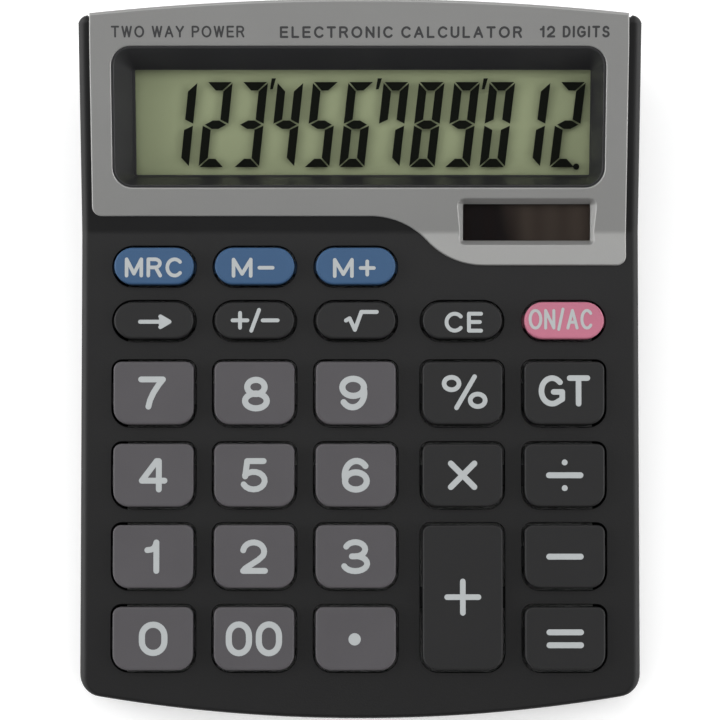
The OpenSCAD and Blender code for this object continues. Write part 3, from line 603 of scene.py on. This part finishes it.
# each key's legend: marks, height and stroke in millimetres, then how wide its marks are and how far apart
legends = {
    "7": ("7", 6.2, 1.1), "8": ("8", 6.5, 1.15, 0.95), "9": ("9", 6.5, 1.15),
    "4": ("4", 6.4, 1.1), "5": ("5", 6.4, 1.1), "6": ("6", 6.5, 1.15), "1": ("1", 6.4, 1.1), "2": ("2", 6.4, 1.1), "3": ("3", 6.5, 1.1), "0": ("0", 6.4, 1.15),
    "00": ("00", 6.5, 1.15, 0.88, 0.12), "point": (".", 2.3, 2.3), "percent": ("%", 6.7, 0.87),
    "gt": ("GT", 5.85, 1.05, 0.99, 0.06), "plus": ("+", 6.9, 1.05), "minus": ("-", 1.1, 1.1, 5.9),
    "equals": ("=", 3.5, 1.1, 5.9),
    "multiply": ("x", 5.5, 1.1), "divide": ("d", 5.9, 1.1, 5.9), "mrc": ("MRC", 3.75, 0.68, 1.07, 0.16),
    "m_minus": ("M", 3.75, 0.68, 1.25), "m_plus": ("M", 3.75, 0.68, 1.25), "back": (["arrow"], 2.75, 0.75),
    "sign": ("+", 3.5, 0.72), "root": (["root"], 4.1, 0.75), "ce": ("CE", 3.9, 0.72, 1.15, 0.18),
    "on_ac": ("ON/AC", 3.85, 0.56, 0.69, 0.13),
}
# how far a legend's middle is from its key's middle
legendMoves = {
    "1": (-0.2, 0), "point": (-0.2, -0.1), "plus": (0.0, 0.1), "0": (0.1, 0),
    "7": (-0.27, 0), "8": (0.3, -0.2), "9": (-0.45, 0), "mrc": (-0.1, -0.3), "m_minus": (-0.27, -0.35), "m_plus": (-0.27, -0.4), "back": (0.2, -0.27), "sign": (0.13, 0),
    "root": (1.05, -0.1), "ce": (0.26, -0.35), "on_ac": (-0.7, 0.2), "percent": (0.4, 0.15), "gt": (0, 0.4),
}
# signs set beside or after the first mark, as lines in millimetres from its lower left
laterLines = {
    "m_minus": [[(4.85, 1.53), (7.35, 1.53)]], "m_plus": [[(4.85, 1.53), (7.35, 1.53)], [(6.1, 0.28), (6.1, 2.78)]],
    "sign": [[(3.5, -0.56), (4.95, 3.35)], [(5.65, 1.39), (8.45, 1.39)]],
}


def drawLegend(name):
    text, height, stroke, squeeze, spacing = (list(legends[name]) + [1.0, 0.35][len(legends[name]) - 3:])[:5]
    outlines = writing(text, height, stroke, squeeze, spacing)
    for line in laterLines.get(name, []):
        outlines += [o + stroke / 2 for o in strokeOutlines(line, stroke / 2)]
    return outlines


for name, (centre, size, high) in keyPlaces.items():
    points, tris = inkTriangles(drawLegend(name))
    middle = (points.min(0) + points.max(0)) / 2
    points = points - middle + centre + legendMoves.get(name, (0, 0))
    skin = Skin()
    raisedMark(skin, points, tris, high - 0.03, high + 0.03)
    skin.piece("legend_" + name, "key_" + name + "_body", keySlots.get(name, "key_black"), inkLight)
print("legends made:", len(legends))


surroundBox = (-46.4, 45.9, 8.6, 35.2)  # left, right, low and high side of the display's surround
surroundCorners = [3.7] * 4


# box outline that has extra points on both sides, at the given heights
def crossedBox(sides, radius, heights):
    points, normals = roundedBox(*sides, [radius] * 4, 3)
    n = len(heights)
    right, left = np.stack([heights * 0 + sides[1], heights], -1), np.stack([heights * 0 + sides[0], heights[::-1]], -1)
    rightOut, leftOut = np.tile([1.0, 0], (n, 1)), np.tile([-1.0, 0], (n, 1))
    return (np.concatenate([points[:4], right, points[4:12], left, points[12:]]),
            np.concatenate([normals[:4], rightOut, normals[4:12], leftOut, normals[12:]]))


# the upper case: deck, key openings, rounded rim, walls down to the seam
def makeTopCase():
    skin, c = Skin(), caseShape
    # sharp outer edge in the keypad's own plane: right corner, side, rear corner, rear bow, and back round
    r, x = c["frontCorner"], halfWidth - c["frontCorner"]
    bowY = frontBowRadius - keyLength
    y = bowY - math.sqrt((frontBowRadius - r) ** 2 - x * x)
    a = math.atan2(y - bowY, x)
    corner = np.linspace(a, 0, 10)
    front = np.linspace(-math.pi - a, a, 49)[1:-1]
    dirs = lambda t: np.stack([np.cos(t), np.sin(t)], -1)
    cornerPoints, cornerOut = np.array([x, y]) + r * dirs(corner), dirs(corner)
    frontPoints, frontOut = np.array([0, bowY]) + frontBowRadius * dirs(front), dirs(front)
    sideS = np.concatenate([np.linspace(y, -creaseHalf - 3, 12)[1:], creaseLines, np.linspace(creaseHalf + 3, 38, 8)])
    rr, xr = c["rearCorner"], halfWidth - c["rearCorner"]
    yr = rearBowY + math.sqrt((rearBowRadius - rr) ** 2 - xr * xr)
    ar = math.atan2(yr - rearBowY, xr)
    rearCorner = np.array([xr, yr]) + rr * dirs(np.linspace(0, ar, 8))
    rearCornerOut = dirs(np.linspace(0, ar, 8))
    stepAngle = math.acos(c["stepHalf"] / rearBowRadius)
    rearA = np.linspace(stepAngle, math.pi - stepAngle, 41)
    rearPoints = np.array([0, rearBowY]) + (rearBowRadius - c["rearStep"]) * dirs(rearA)

    def fromKeypad(p, q, size):
        edge = slopePoint(p[:, 0], p[:, 1], 0)
        out = slopeDirection(q, onKeypad)
        return edge, np.broadcast_to(slopeNormal(onKeypad), edge.shape), out, size, np.full(len(p), 1.0)

    def fromPlan(p, q, size):
        z = creaseZ + (p[:, 1] - creaseY) * math.tan(displayTilt)
        edge = np.concatenate([p, z[:, None]], 1)
        out = np.concatenate([q, 0 * z[:, None]], 1)
        return edge, np.broadcast_to(slopeNormal(onDisplay), edge.shape), out, size, np.zeros(len(p))

    def side(sign):
        s = sideS if sign > 0 else sideS[::-1]
        edge = slopePoint(sign * halfWidth, s, 0)
        lean = np.clip((-s - 5) / 20, 0, 1)
        out = np.broadcast_to([float(sign), 0, 0], edge.shape)
        return edge, slopeNormal(s), out, np.full(len(s), c["sideRound"]), lean

    mirror = np.array([-1, 1])
    ease = lambda n: np.linspace(0, 1, n) ** 2 * (3 - 2 * np.linspace(0, 1, n))
    cornerSize = c["frontRound"] + (c["sideRound"] - c["frontRound"]) * ease(10)
    rearSize = c["sideRound"] + (c["rearRound"] - c["sideRound"]) * ease(8)
    parts = [
        fromKeypad(cornerPoints, cornerOut, cornerSize), side(1),
        fromPlan(rearCorner, rearCornerOut, rearSize),
        fromPlan(rearPoints, dirs(rearA), np.full(41, c["rearRound"])),
        fromPlan(rearCorner[::-1] * mirror, rearCornerOut[::-1] * mirror, rearSize[::-1]), side(-1),
        fromKeypad(cornerPoints[::-1] * mirror, cornerOut[::-1] * mirror, cornerSize[::-1]),
        fromKeypad(frontPoints, frontOut, np.full(len(front), c["frontRound"])),
    ]
    edge, top, out, size, lean = [np.concatenate([p[i] for p in parts]) for i in range(5)]
    rim, rimNormals = rolledEdge(edge, top, out, size[:, None], 7)
    skin.patch(rim, rimNormals, True)
    # the wall goes down to the seam, square to the keypad in front and upright behind
    down = unit(-(lean[:, None] * slopeNormal(onKeypad) + (1 - lean[:, None]) * np.array([0, 0, 1])))
    slope = (c["seamRear"] - c["seamFront"]) / c["depth"]
    start = rim[-1]
    seamAt = lambda p: c["seamFront"] + slope * (p[:, 1] + c["depth"] / 2)
    drop = (start[:, 2] - seamAt(start)) / (-down[:, 2] + slope * down[:, 1])
    foot = start + drop[:, None] * down
    levels = np.linspace(0, 1, 5)[:, None, None]
    skin.patch(start + levels * (foot - start), np.broadcast_to(out, (5,) + out.shape), True)
    inner = foot - c["wall"] * out
    inner[:, 2] = seamAt(inner)
    skin.strip(foot, inner, np.array([0, 0, -1.0]))
    deckUnder = rim[0] - c["wall"] * top
    skin.strip(inner, deckUnder, -out)
    # the deck
    flat = [np.stack([rim[0][:, 0], slopeOf(rim[0])], -1)]
    sideRows = np.abs(np.abs(edge[:, 0]) - halfWidth) < 1e-9
    flat[0][:, 1] = np.where(sideRows & (np.abs(slopeOf(edge)) < 3), 0, flat[0][:, 1])
    at = len(cornerPoints)
    flat[0][at:at + len(sideS), 1] = sideS
    at += len(sideS) + 8 + 41 + 8
    flat[0][at:at + len(sideS), 1] = sideS[::-1]
    loops, deck, deckUp, total = [np.arange(len(edge))], [rim[0]], [top], len(edge)

    def opening(points, normals, growth, hole=c["holeRound"], depth=c["wall"]):
        nonlocal total
        p = points + growth * normals
        e = slopePoint(p[:, 0], p[:, 1], 0)
        s = p[:, 1]
        inward = -slopeDirection(normals, s)
        up = slopeNormal(s)
        ring, ringNormals = rolledEdge(e, up, inward, hole, 4)
        skin.patch(ring, ringNormals, True)
        skin.strip(ring[-1], e - depth * up, inward)
        skin.strip(e - depth * up, ring[0] - depth * up, -up)
        flat.append(p + hole * normals)
        loops.append(total + np.arange(len(p)))
        deck.append(ring[0])
        deckUp.append(up)
        total += len(p)

    for name, (centre, size_, _) in keyPlaces.items():
        opening(*keyOutline(name, centre, size_), keyTop["gap"])
    opening(*roundedBox(*surroundBox, surroundCorners, 8), 0.25)
    # the opening under the solar window crosses the crease
    opening(*crossedBox((17.6, 45.2, -3.3, 7.0), 0.4, creaseLines), 0.0)
    flat, deck, deckUp = np.concatenate(flat), np.concatenate(deck), np.concatenate(deckUp)
    tris = regionTriangles(flat, loops, creaseRuns(flat))
    skin.add(deck, deckUp, tris)
    skin.add(deck - c["wall"] * deckUp, -deckUp, tris)
    return skin.piece("upperCase", "case", "case_black", finishes["case_black"], ["top_case"])


makeTopCase()
print("upper case made")

# the silver plate: a bent sheet over the display section
plateShape = {"left": -50.4, "right": 50.1, "leftFront": 3.1, "rightFront": -6.3, "stepStart": 2.0, "stepEnd": 23.2,
              "corner": 1.8, "proud": 0.5, "edge": 0.28, "thick": 0.9, "bend": 0.5, "lip": 6.5}
solarShape = {"x0": 19.4, "x1": 43.4, "y0": -1.6, "y1": 5.3, "level": -0.3, "spread": 0.74, "depth": 1.2, "edge": 0.16}
midTilt = (keyTilt + displayTilt) / 2


# a point in the crease's own frame: x, y up the middle slope, z square to it
def creasePoint(x, y, z):
    x, y, z = np.broadcast_arrays(np.asarray(x, float), y, z)
    across, up = math.cos(midTilt), math.sin(midTilt)
    return np.stack([x, creaseY + y * across - z * up, creaseZ + y * up + z * across], -1)


# front edge of the plate from left to right: corner, two equal arcs that make the step, corner
def plateFront():
    q = plateShape
    rise, run = q["leftFront"] - q["rightFront"], q["stepEnd"] - q["stepStart"]
    r = (rise * rise + run * run) / (4 * rise)
    turn = 2 * math.degrees(math.atan(rise / run))
    arcs = [
        (q["left"] + q["corner"], q["leftFront"] + q["corner"], q["corner"], 180, 270, 8, 1),
        (q["stepStart"], q["leftFront"] - r, r, 90, 90 - turn, 16, -1),
        (q["stepEnd"], q["rightFront"] + r, r, 270 - turn, 270, 16, 1),
        (q["right"] - q["corner"], q["rightFront"] + q["corner"], q["corner"], 270, 360, 8, 1),
    ]
    points, normals = [], []
    for x, y, radius, a0, a1, steps, sign in arcs:
        t = np.radians(np.linspace(a0, a1, steps + 1))
        d = np.stack([np.cos(t), np.sin(t)], -1)
        points.append(np.array([x, y]) + radius * d)
        normals.append(sign * d)
    return np.concatenate(points), np.concatenate(normals)


def makePlate():
    skin, q, w = Skin(), plateShape, solarShape
    e, proud, thick = q["edge"], q["proud"], q["thick"]
    frontPoints, frontOut = plateFront()
    rightX, leftX = q["right"] - e, q["left"] + e
    belowCrease = np.linspace(q["rightFront"] + q["corner"], -creaseHalf - 0.8, 3)[1:]
    rightS = np.concatenate([belowCrease, creaseLines, [3, 12, 24, 36]])
    leftS = np.array([36, 24, 12, 7])
    # rear block: over the bend and down the lip, along the bowed edge
    cols = np.linspace(rightX, leftX, 45)
    y = rearBowY + np.sqrt(rearBowRadius**2 - cols**2)
    rearEdge = np.stack([cols, y, creaseZ + (y - creaseY) * math.tan(displayTilt) + proud / math.cos(displayTilt)], -1)
    rearOut = np.stack([cols / rearBowRadius, np.sqrt(1 - (cols / rearBowRadius) ** 2), 0 * cols], -1)
    bendUp = np.broadcast_to(slopeNormal(onDisplay), rearEdge.shape)
    bend, bendNormals = rolledEdge(rearEdge, bendUp, rearOut, q["bend"], 10)
    lipZ = creaseZ + (caseShape["depth"] / 2 - creaseY) * math.tan(displayTilt) - q["lip"]
    lip = np.stack([bend[-1] * [1, 1, 0] + [0, 0, z] for z in np.linspace(bend[-1][:, 2].mean(), lipZ + e, 4)])
    lip[0] = bend[-1]
    rear = np.concatenate([bend, lip[1:]])
    rearNormals = np.concatenate([bendNormals, np.broadcast_to(rearOut, (3,) + rearOut.shape)])
    skin.patch(rear, rearNormals)
    skin.patch(rear - thick * rearNormals, -rearNormals)
    # flat outline of the top: front, right side, rear bow, left side
    front = frontPoints - e * frontOut
    rearFlat = np.stack([cols, slopeOf(bend[0] - proud * slopeNormal(onDisplay))], -1)
    flat = [front, np.stack([rightS * 0 + rightX, rightS], -1), rearFlat, np.stack([leftS * 0 + leftX, leftS], -1)]
    outer = np.concatenate(flat)
    loops, total = [np.arange(len(outer))], len(outer)
    holes = []
    hole, holeOut = roundedBox(*surroundBox, surroundCorners, 8)
    holes.append(hole + e * holeOut)
    loops.append(total + np.arange(len(hole)))
    total += len(hole)
    # the mouth of the solar window: it opens wider where the plate stands higher above the window
    midY = np.array([-1.0, -0.55, -0.25, 0.0, 0.25, 0.55, 1.0, 3.0])
    win, winOut = crossedBox((w["x0"], w["x1"], w["y0"], w["y1"]), 0.25, midY)
    half = (displayTilt - keyTilt) / 2
    spread = np.full(len(win), 0.6)
    rise = lambda p: np.sqrt(p[:, 1] ** 2 + creaseHalf**2 * 0.1) * math.tan(half) + proud / math.cos(half)
    for _ in range(12):
        mouth = win + spread[:, None] * winOut
        spread = w["spread"] * (rise(mouth) - w["level"])
    mouth = win + spread[:, None] * winOut
    lift = np.sign(mouth[:, 1]) * (rise(mouth) - proud) * math.sin(half)
    mouthFlat = np.stack([mouth[:, 0], mouth[:, 1] * math.cos(half) + lift], -1)
    holes.append(mouthFlat + w["edge"] * winOut)
    loops.append(total + np.arange(len(win)))
    total += len(win)
    # short lines across the crease keep its bend smooth
    extra, lines = [], []
    onStep = frontPoints[::-1]
    onStep = onStep[(onStep[:, 0] > q["stepStart"]) & (onStep[:, 0] < q["stepEnd"])]
    for i, s in enumerate(creaseLines):
        stepX = np.interp(s, onStep[:, 1], onStep[:, 0]) + 1.0
        extra += [(stepX, s), (mouthFlat[:, 0].min() - 0.5, s), (mouthFlat[:, 0].max() + 0.5, s)]
        lines += [(total + 3 * i, total + 3 * i + 1), (total + 3 * i + 2, len(front) + 2 + i)]
    flatAll = np.concatenate([outer, *holes, np.array(extra)])
    tris = regionTriangles(flatAll, loops, lines)
    topPoints, topUp = slopePoint(flatAll[:, 0], flatAll[:, 1], proud), slopeNormal(flatAll[:, 1])
    a = len(front) + len(rightS)
    topPoints[a:a + len(cols)] = bend[0]
    skin.add(topPoints, topUp, tris)
    skin.add(topPoints - thick * topUp, -topUp, tris)
    # the rounded outer edge, round the top, down the lip's side, along its bottom and back up
    spread2 = np.concatenate([frontOut, np.tile([1.0, 0], (len(rightS), 1))])
    loopPoints = [topPoints[:a], rear[:, 0], rear[-1, 1:-1], rear[::-1, -1],
                  topPoints[a + len(cols):len(outer)]]
    loopNormals = [topUp[:a], rearNormals[:, 0], rearNormals[-1, 1:-1], rearNormals[::-1, -1],
                   topUp[a + len(cols):len(outer)]]
    flatOut = slopeDirection(spread2, outer[:a, 1])
    rightOut, leftOut = np.tile([1.0, 0, 0], (len(rear), 1)), np.tile([-1.0, 0, 0], (len(rear), 1))
    rightOut[-1], leftOut[0] = (1, 0, -1), (-1, 0, -1)
    loopOut = [flatOut, rightOut, np.tile([0, 0, -1.0], (len(cols) - 2, 1)), leftOut,
               np.tile([-1.0, 0, 0], (len(leftS), 1))]
    p, n, o = np.concatenate(loopPoints), np.concatenate(loopNormals), np.concatenate(loopOut)
    turn = np.linspace(0, math.pi / 2, 5).reshape(-1, 1, 1)
    skin.patch(p + o * e * np.sin(turn) - n * e * (1 - np.cos(turn)), n * np.cos(turn) + unit(o) * np.sin(turn), True)
    skin.strip(p + o * e - n * e, p + o * e - n * thick, unit(o))
    skin.strip(p + o * e - n * thick, p - n * thick, -n)
    # the surround's opening
    s = hole[:, 1]
    up, inward = slopeNormal(s), -slopeDirection(holeOut, s)
    ring, ringNormals = rolledEdge(slopePoint(hole[:, 0], s, proud), up, inward, e, 4)
    skin.patch(ring, ringNormals, True)
    skin.strip(ring[-1], slopePoint(hole[:, 0], s, proud - thick), inward)
    skin.strip(slopePoint(hole[:, 0], s, proud - thick), ring[0] - thick * up, -up)
    # the mouth's sloping walls, and its throat down past the window
    k = len(outer) + len(hole)
    ringTop, ringUp = topPoints[k:k + len(win)], topUp[k:k + len(win)]
    low = creasePoint(win[:, 0], win[:, 1], w["level"])
    into = -(winOut[:, :1] * np.array([1, 0, 0]) + winOut[:, 1:] * np.array([0, math.cos(midTilt), math.sin(midTilt)]))
    square = np.array([0, -math.sin(midTilt), math.cos(midTilt)])
    wallNormal = unit(into + square * w["spread"])
    upper = slopePoint(mouthFlat[:, 0], mouthFlat[:, 1], proud)
    lip1 = upper + (low - upper) * 0.12
    skin.patch(np.stack([ringTop, ringTop * 0.3 + upper * 0.55 + lip1 * 0.15, lip1]),
               np.stack([ringUp, unit(ringUp + wallNormal), wallNormal]), True)
    skin.strip(lip1, low, wallNormal)
    throat = creasePoint(win[:, 0], win[:, 1], w["level"] - w["depth"])
    skin.strip(low, throat, into)
    skin.strip(throat, ringTop - thick * ringUp, -square)
    return skin.piece("silverPlate", "case", "silver_paint", finishes["silver_paint"], ["face_plate"])


makePlate()
print("plate made")

# the black surround of the display: rounded rim, four sloping walls, a narrow groove at their foot
surroundShape = {"rim": 0.35, "low": 0.16, "round": 0.12, "depth": 4.6, "groove": 0.35, "throat": 0.9, "clear": 0.05,
                 "window": (-42.3, 43.4, 10.1, 30.1)}


def makeSurround():
    skin, b = Skin(), surroundShape
    up = slopeNormal(onDisplay)
    flatOut = lambda q: slopeDirection(q, onDisplay)
    outer, outDir = roundedBox(*surroundBox, surroundCorners, 10)
    top = plateShape["proud"] - b["low"]
    x0, x1, y0, y1 = b["window"]
    rim = outer - b["rim"] * outDir
    foot, _ = roundedBox(x0 - 0.55, x1 + 0.2, y0 - 0.2, y1 + 0.2, [0.6] * 4, 10)
    groove, _ = roundedBox(x0 - 0.5, x1 + 0.15, y0 - 0.15, y1 + 0.15, [0.5] * 4, 10)
    win, _ = roundedBox(x0, x1, y0, y1, [0.25] * 4, 10)
    out3 = flatOut(outDir)
    level = lambda p, h: slopePoint(p[:, 0], p[:, 1], h)
    edge = level(outer - b["clear"] * outDir, top)
    crown, crownNormals = rolledEdge(edge, np.broadcast_to(up, out3.shape), out3, b["round"], 3)
    skin.patch(crown, crownNormals, True)
    skin.strip(crown[-1], level(outer - b["clear"] * outDir, -b["depth"] - b["throat"]), out3)
    brow = level(rim, top)
    skin.strip(crown[0], brow, up)
    a, f = level(rim - 0.12 * outDir, top - 0.12), level(foot, -b["depth"])
    along = np.roll(f, -1, 0) - np.roll(f, 1, 0) + np.roll(a, -1, 0) - np.roll(a, 1, 0)
    wall = unit(np.cross(along, f - a))
    wall *= np.sign((wall * up).sum(-1, keepdims=True))
    skin.patch(np.stack([brow, a]), np.stack([np.broadcast_to(up, a.shape), wall]), True)
    skin.strip(a, f, wall)
    g = level(groove, -b["depth"] - b["groove"])
    skin.strip(f, g, -out3)
    w = level(win, -b["depth"] - b["groove"])
    skin.strip(g, w, up)
    end = level(win, -b["depth"] - b["throat"])
    skin.strip(w, end, -out3)
    skin.strip(end, level(outer - b["clear"] * outDir, -b["depth"] - b["throat"]), -up)
    return skin.piece("displaySurround", "case", "bezel_black", finishes["bezel_black"], ["display_bezel"])


makeSurround()


# the display's glass: a slab with ground edges, a hair clear of the sheet behind it
def makeGlass():
    skin, g = Skin(), glassShape
    up = slopeNormal(onDisplay)
    outline, away = roundedBox(*g["box"], [0.4] * 4, 4)
    out3 = slopeDirection(away, onDisplay)
    level = lambda m, h: slopePoint(outline[:, 0] + m * away[:, 0], outline[:, 1] + m * away[:, 1], h)
    crown, crownNormals = rolledEdge(level(0, g["top"]), np.broadcast_to(up, out3.shape), out3, g["ground"], 2)
    low, lowNormals = rolledEdge(level(0, g["bottom"]), np.broadcast_to(-up, out3.shape), out3, g["ground"], 2)
    skin.cap(crown[0], up)
    skin.patch(crown, crownNormals, True)
    skin.strip(crown[-1], low[-1], out3)
    skin.patch(low, lowNormals, True)
    skin.cap(low[0], -up)
    return skin.piece("displayGlass", "case", "clear_glass", finishes["clear_glass"], ["lcd_glass"])


lowCorner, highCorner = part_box("lcd_glass")
windowLow, windowHigh = surroundShape["window"][2:]
glassShape = {"top": -5.5, "bottom": -7.2, "ground": 0.15,
              "box": (lowCorner.x * 1000, highCorner.x * 1000, windowLow - 3.2, windowHigh + 1.6)}
makeGlass()
print("surround and glass made")

# the figures in the display: seven bars each, leaning to the right
displayShape = {"digits": "123456789012", "first": -37.3, "pitch": 6.66, "height": 16.2, "width": 4.82, "low": 11.45,
                "bar": 1.6, "gap": 0.19, "slant": 6.4, "level": -6.3, "thick": 0.1, "pointX": 41.0, "pointRadius": 0.6}
segmentSets = {"0": "abcdef", "1": "bc", "2": "abged", "3": "abgcd", "4": "fgbc", "5": "afgcd", "6": "afgedc",
               "7": "abcf", "8": "abcdefg", "9": "abcdfg"}


def makeFigures():
    d, skin = displayShape, Skin()
    h, w, t, g = d["height"], d["width"], d["bar"], d["gap"]
    m = h / 2

    def level(y, up):  # long bar with slanted ends
        k = t if up else -t
        return [(g, y), (w - g, y), (w - t - g, y - k), (t + g, y - k)]

    def upright(x, y0, y1, inward):
        k = t * inward
        high, low = (t if y1 > m else t / 2), (t if y0 < 1 else t / 2)
        return [(x, y0 + g), (x, y1 - g), (x + k, y1 - high - g), (x + k, y0 + low + g)]

    bars = {
        "a": level(h, True), "d": level(0, False),
        "g": [(g + 0.2, m), (t + g, m + t / 2), (w - t - g, m + t / 2),
              (w - g - 0.2, m), (w - t - g, m - t / 2), (t + g, m - t / 2)],
        "b": upright(w, m, h, -1), "c": upright(w, 0, m, -1), "f": upright(0, m, h, 1), "e": upright(0, 0, m, 1),
    }
    lean = math.tan(math.radians(d["slant"]))
    outlines = []
    for i, digit in enumerate(d["digits"]):
        for bar in segmentSets[digit]:
            p = np.array(bars[bar])
            outlines.append(p + [d["first"] + i * d["pitch"], d["low"]] + np.stack([p[:, 1] * lean, 0 * p[:, 1]], -1))
        if i in (2, 5, 8):  # thousands mark
            p = np.array([(0, 0), (0.55, 0.05), (1.15, 2.1), (0.35, 2.1)])
            outlines.append(p + [d["first"] + i * d["pitch"] + w + 0.35 + lean * h, d["low"] + h - 1.4])
    a = np.linspace(0, 2 * math.pi, 13)[:-1]
    outlines.append(np.stack([np.cos(a), np.sin(a)], -1) * d["pointRadius"] + [d["pointX"], d["low"] + 0.1])
    points, tris = inkTriangles(outlines)
    raisedMark(skin, points, tris, d["level"] - d["thick"], d["level"])
    return skin.piece("displayFigures", "case", "lcd_reflector", inkSegment)


makeFigures()

# print on the plate, in plain words: text, left edge, middle up the slope, height, stroke, squeeze, spacing
panelPrint = [
    ("TWO WAY POWER", -46.3, 37.9, 2.2, 0.36, 0.92, 0.2),
    ("ELECTRONIC CALCULATOR", -14.9, 37.8, 2.2, 0.42, 1.05, 0.25),
    ("12 DIGITS", 33.4, 37.9, 2.2, 0.42, 0.85, 0.2),
]
skin = Skin()
for text, left, middle, height, stroke, squeeze, spacing in panelPrint:
    points, tris = inkTriangles(writing(text, height, stroke, squeeze, spacing))
    raisedMark(skin, points + [left, middle - height / 2], tris, plateShape["proud"] - 0.02, plateShape["proud"] + 0.02)
skin.piece("panelPrint", "case", "silver_paint", inkPanel)
print("print and figures made")

# finishes of the CAD nodes
nodeFinishes = {
    "bottom_case": "base_black", "battery_door": "base_black", "lcd_glass": "clear_glass",
    "lcd_reflector": "lcd_reflector", "lcd_holder": "inner_white", "lcd_ribbon": "film_brown",
    "solar_window": "solar_tint", "solar_cell": "solar_dark", "solar_leads": "wire_red", "key_mat": "silicone",
    "main_board": "board_green", "chip_cover": "resin_black", "board_parts": "component",
    "button_cell": "cell_steel", "contact_plus": "contact_metal", "contact_minus": "contact_metal",
    "battery_leads": "wire_black", "case_screws": "screw_steel", "board_screws": "screw_steel",
    "foot_front_left": "foot_rubber", "foot_front_right": "foot_rubber", "foot_rear_left": "foot_rubber",
    "foot_rear_right": "foot_rubber", "top_case": "case_black", "face_plate": "silver_paint",
    "display_bezel": "bezel_black",
}
nodeFinishes.update({"key_" + k: keySlots.get(k, "key_black") for k in keyPlaces})
for node, slot in nodeFinishes.items():
    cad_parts[node].data.materials.clear()
    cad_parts[node].data.materials.append(finishes[slot])

# floor, lights and camera
stageSet = {"floorSize": 3.0, "away": 0.6, "lean": 8.5, "aim": -24.1, "lens": 159.5,
            "sky": 0.2, "sides": 4.4, "lightAim": 0.02,
            "lights": [("overhead", (0, 0.3, 1.15), 0.9, 4.8), ("leftSide", (-0.9, 0.15, 0.5), 0.8, 2.2),
                       ("rightSide", (0.9, 0.1, 0.5), 0.7, 0.7), ("behind", (0, 1.1, 0.6), 0.8, 2.2)]}
floorMesh = bpy.data.meshes.new("floor")
f = stageSet["floorSize"]
floorMesh.from_pydata([(-f, -f, 0), (f, -f, 0), (f, f, 0), (-f, f, 0)], [], [(0, 1, 2, 3)])
floorMesh.materials.append(moulded("floorPaper", (0.9, 0.9, 0.9), 0.8, grain=2.0, depth=0.01, shift=0.005,
                                   **{"Emission Color": (1, 1, 1, 1), "Emission Strength": 0.3}))
floor = bpy.data.objects.new("floor", floorMesh)
bpy.context.scene.collection.objects.link(floor)

# the studio is brighter at the left and right: a low sky plus a share of the direction's x to the fourth power
world = bpy.data.worlds.new("studio")
studio = Nodes(world, "ShaderNodeOutputWorld")
direction = studio.make("ShaderNodeTexCoord", {}, {}, "Generated")
across = studio.make("ShaderNodeSeparateXYZ", {}, {0: direction}, 0)
sky = across * across * across * across * stageSet["sides"] + stageSet["sky"]
studio.surface(studio.make("ShaderNodeBackground", {}, {"Color": (1, 1, 1, 1), "Strength": sky}))
bpy.context.scene.world = world


def softLight(name, place, size, power):
    data = bpy.data.lights.new(name, "AREA")
    data.shape, data.size, data.energy = "SQUARE", size, power
    light = bpy.data.objects.new(name, data)
    light.location = place
    light.rotation_euler = (Vector((0, 0, stageSet["lightAim"])) - Vector(place)).to_track_quat("-Z", "Y").to_euler()
    bpy.context.scene.collection.objects.link(light)


for name, place, size, power in stageSet["lights"]:
    softLight(name, place, size, power)

aim = Vector((slopePoint(0, stageSet["aim"], 0) / 1000).tolist())
lean = math.radians(stageSet["lean"])
toCamera = Vector((0, -math.sin(lean), math.cos(lean)))
camera = bpy.data.objects.new("camera", bpy.data.cameras.new("camera"))
camera.data.lens, camera.data.sensor_width = stageSet["lens"], 36
camera.location = aim + toCamera * stageSet["away"]
camera.rotation_euler = (lean, 0, 0)
bpy.context.scene.collection.objects.link(camera)
bpy.context.scene.camera = camera
bpy.context.scene.view_settings.view_transform = "Standard"
print("stage set")
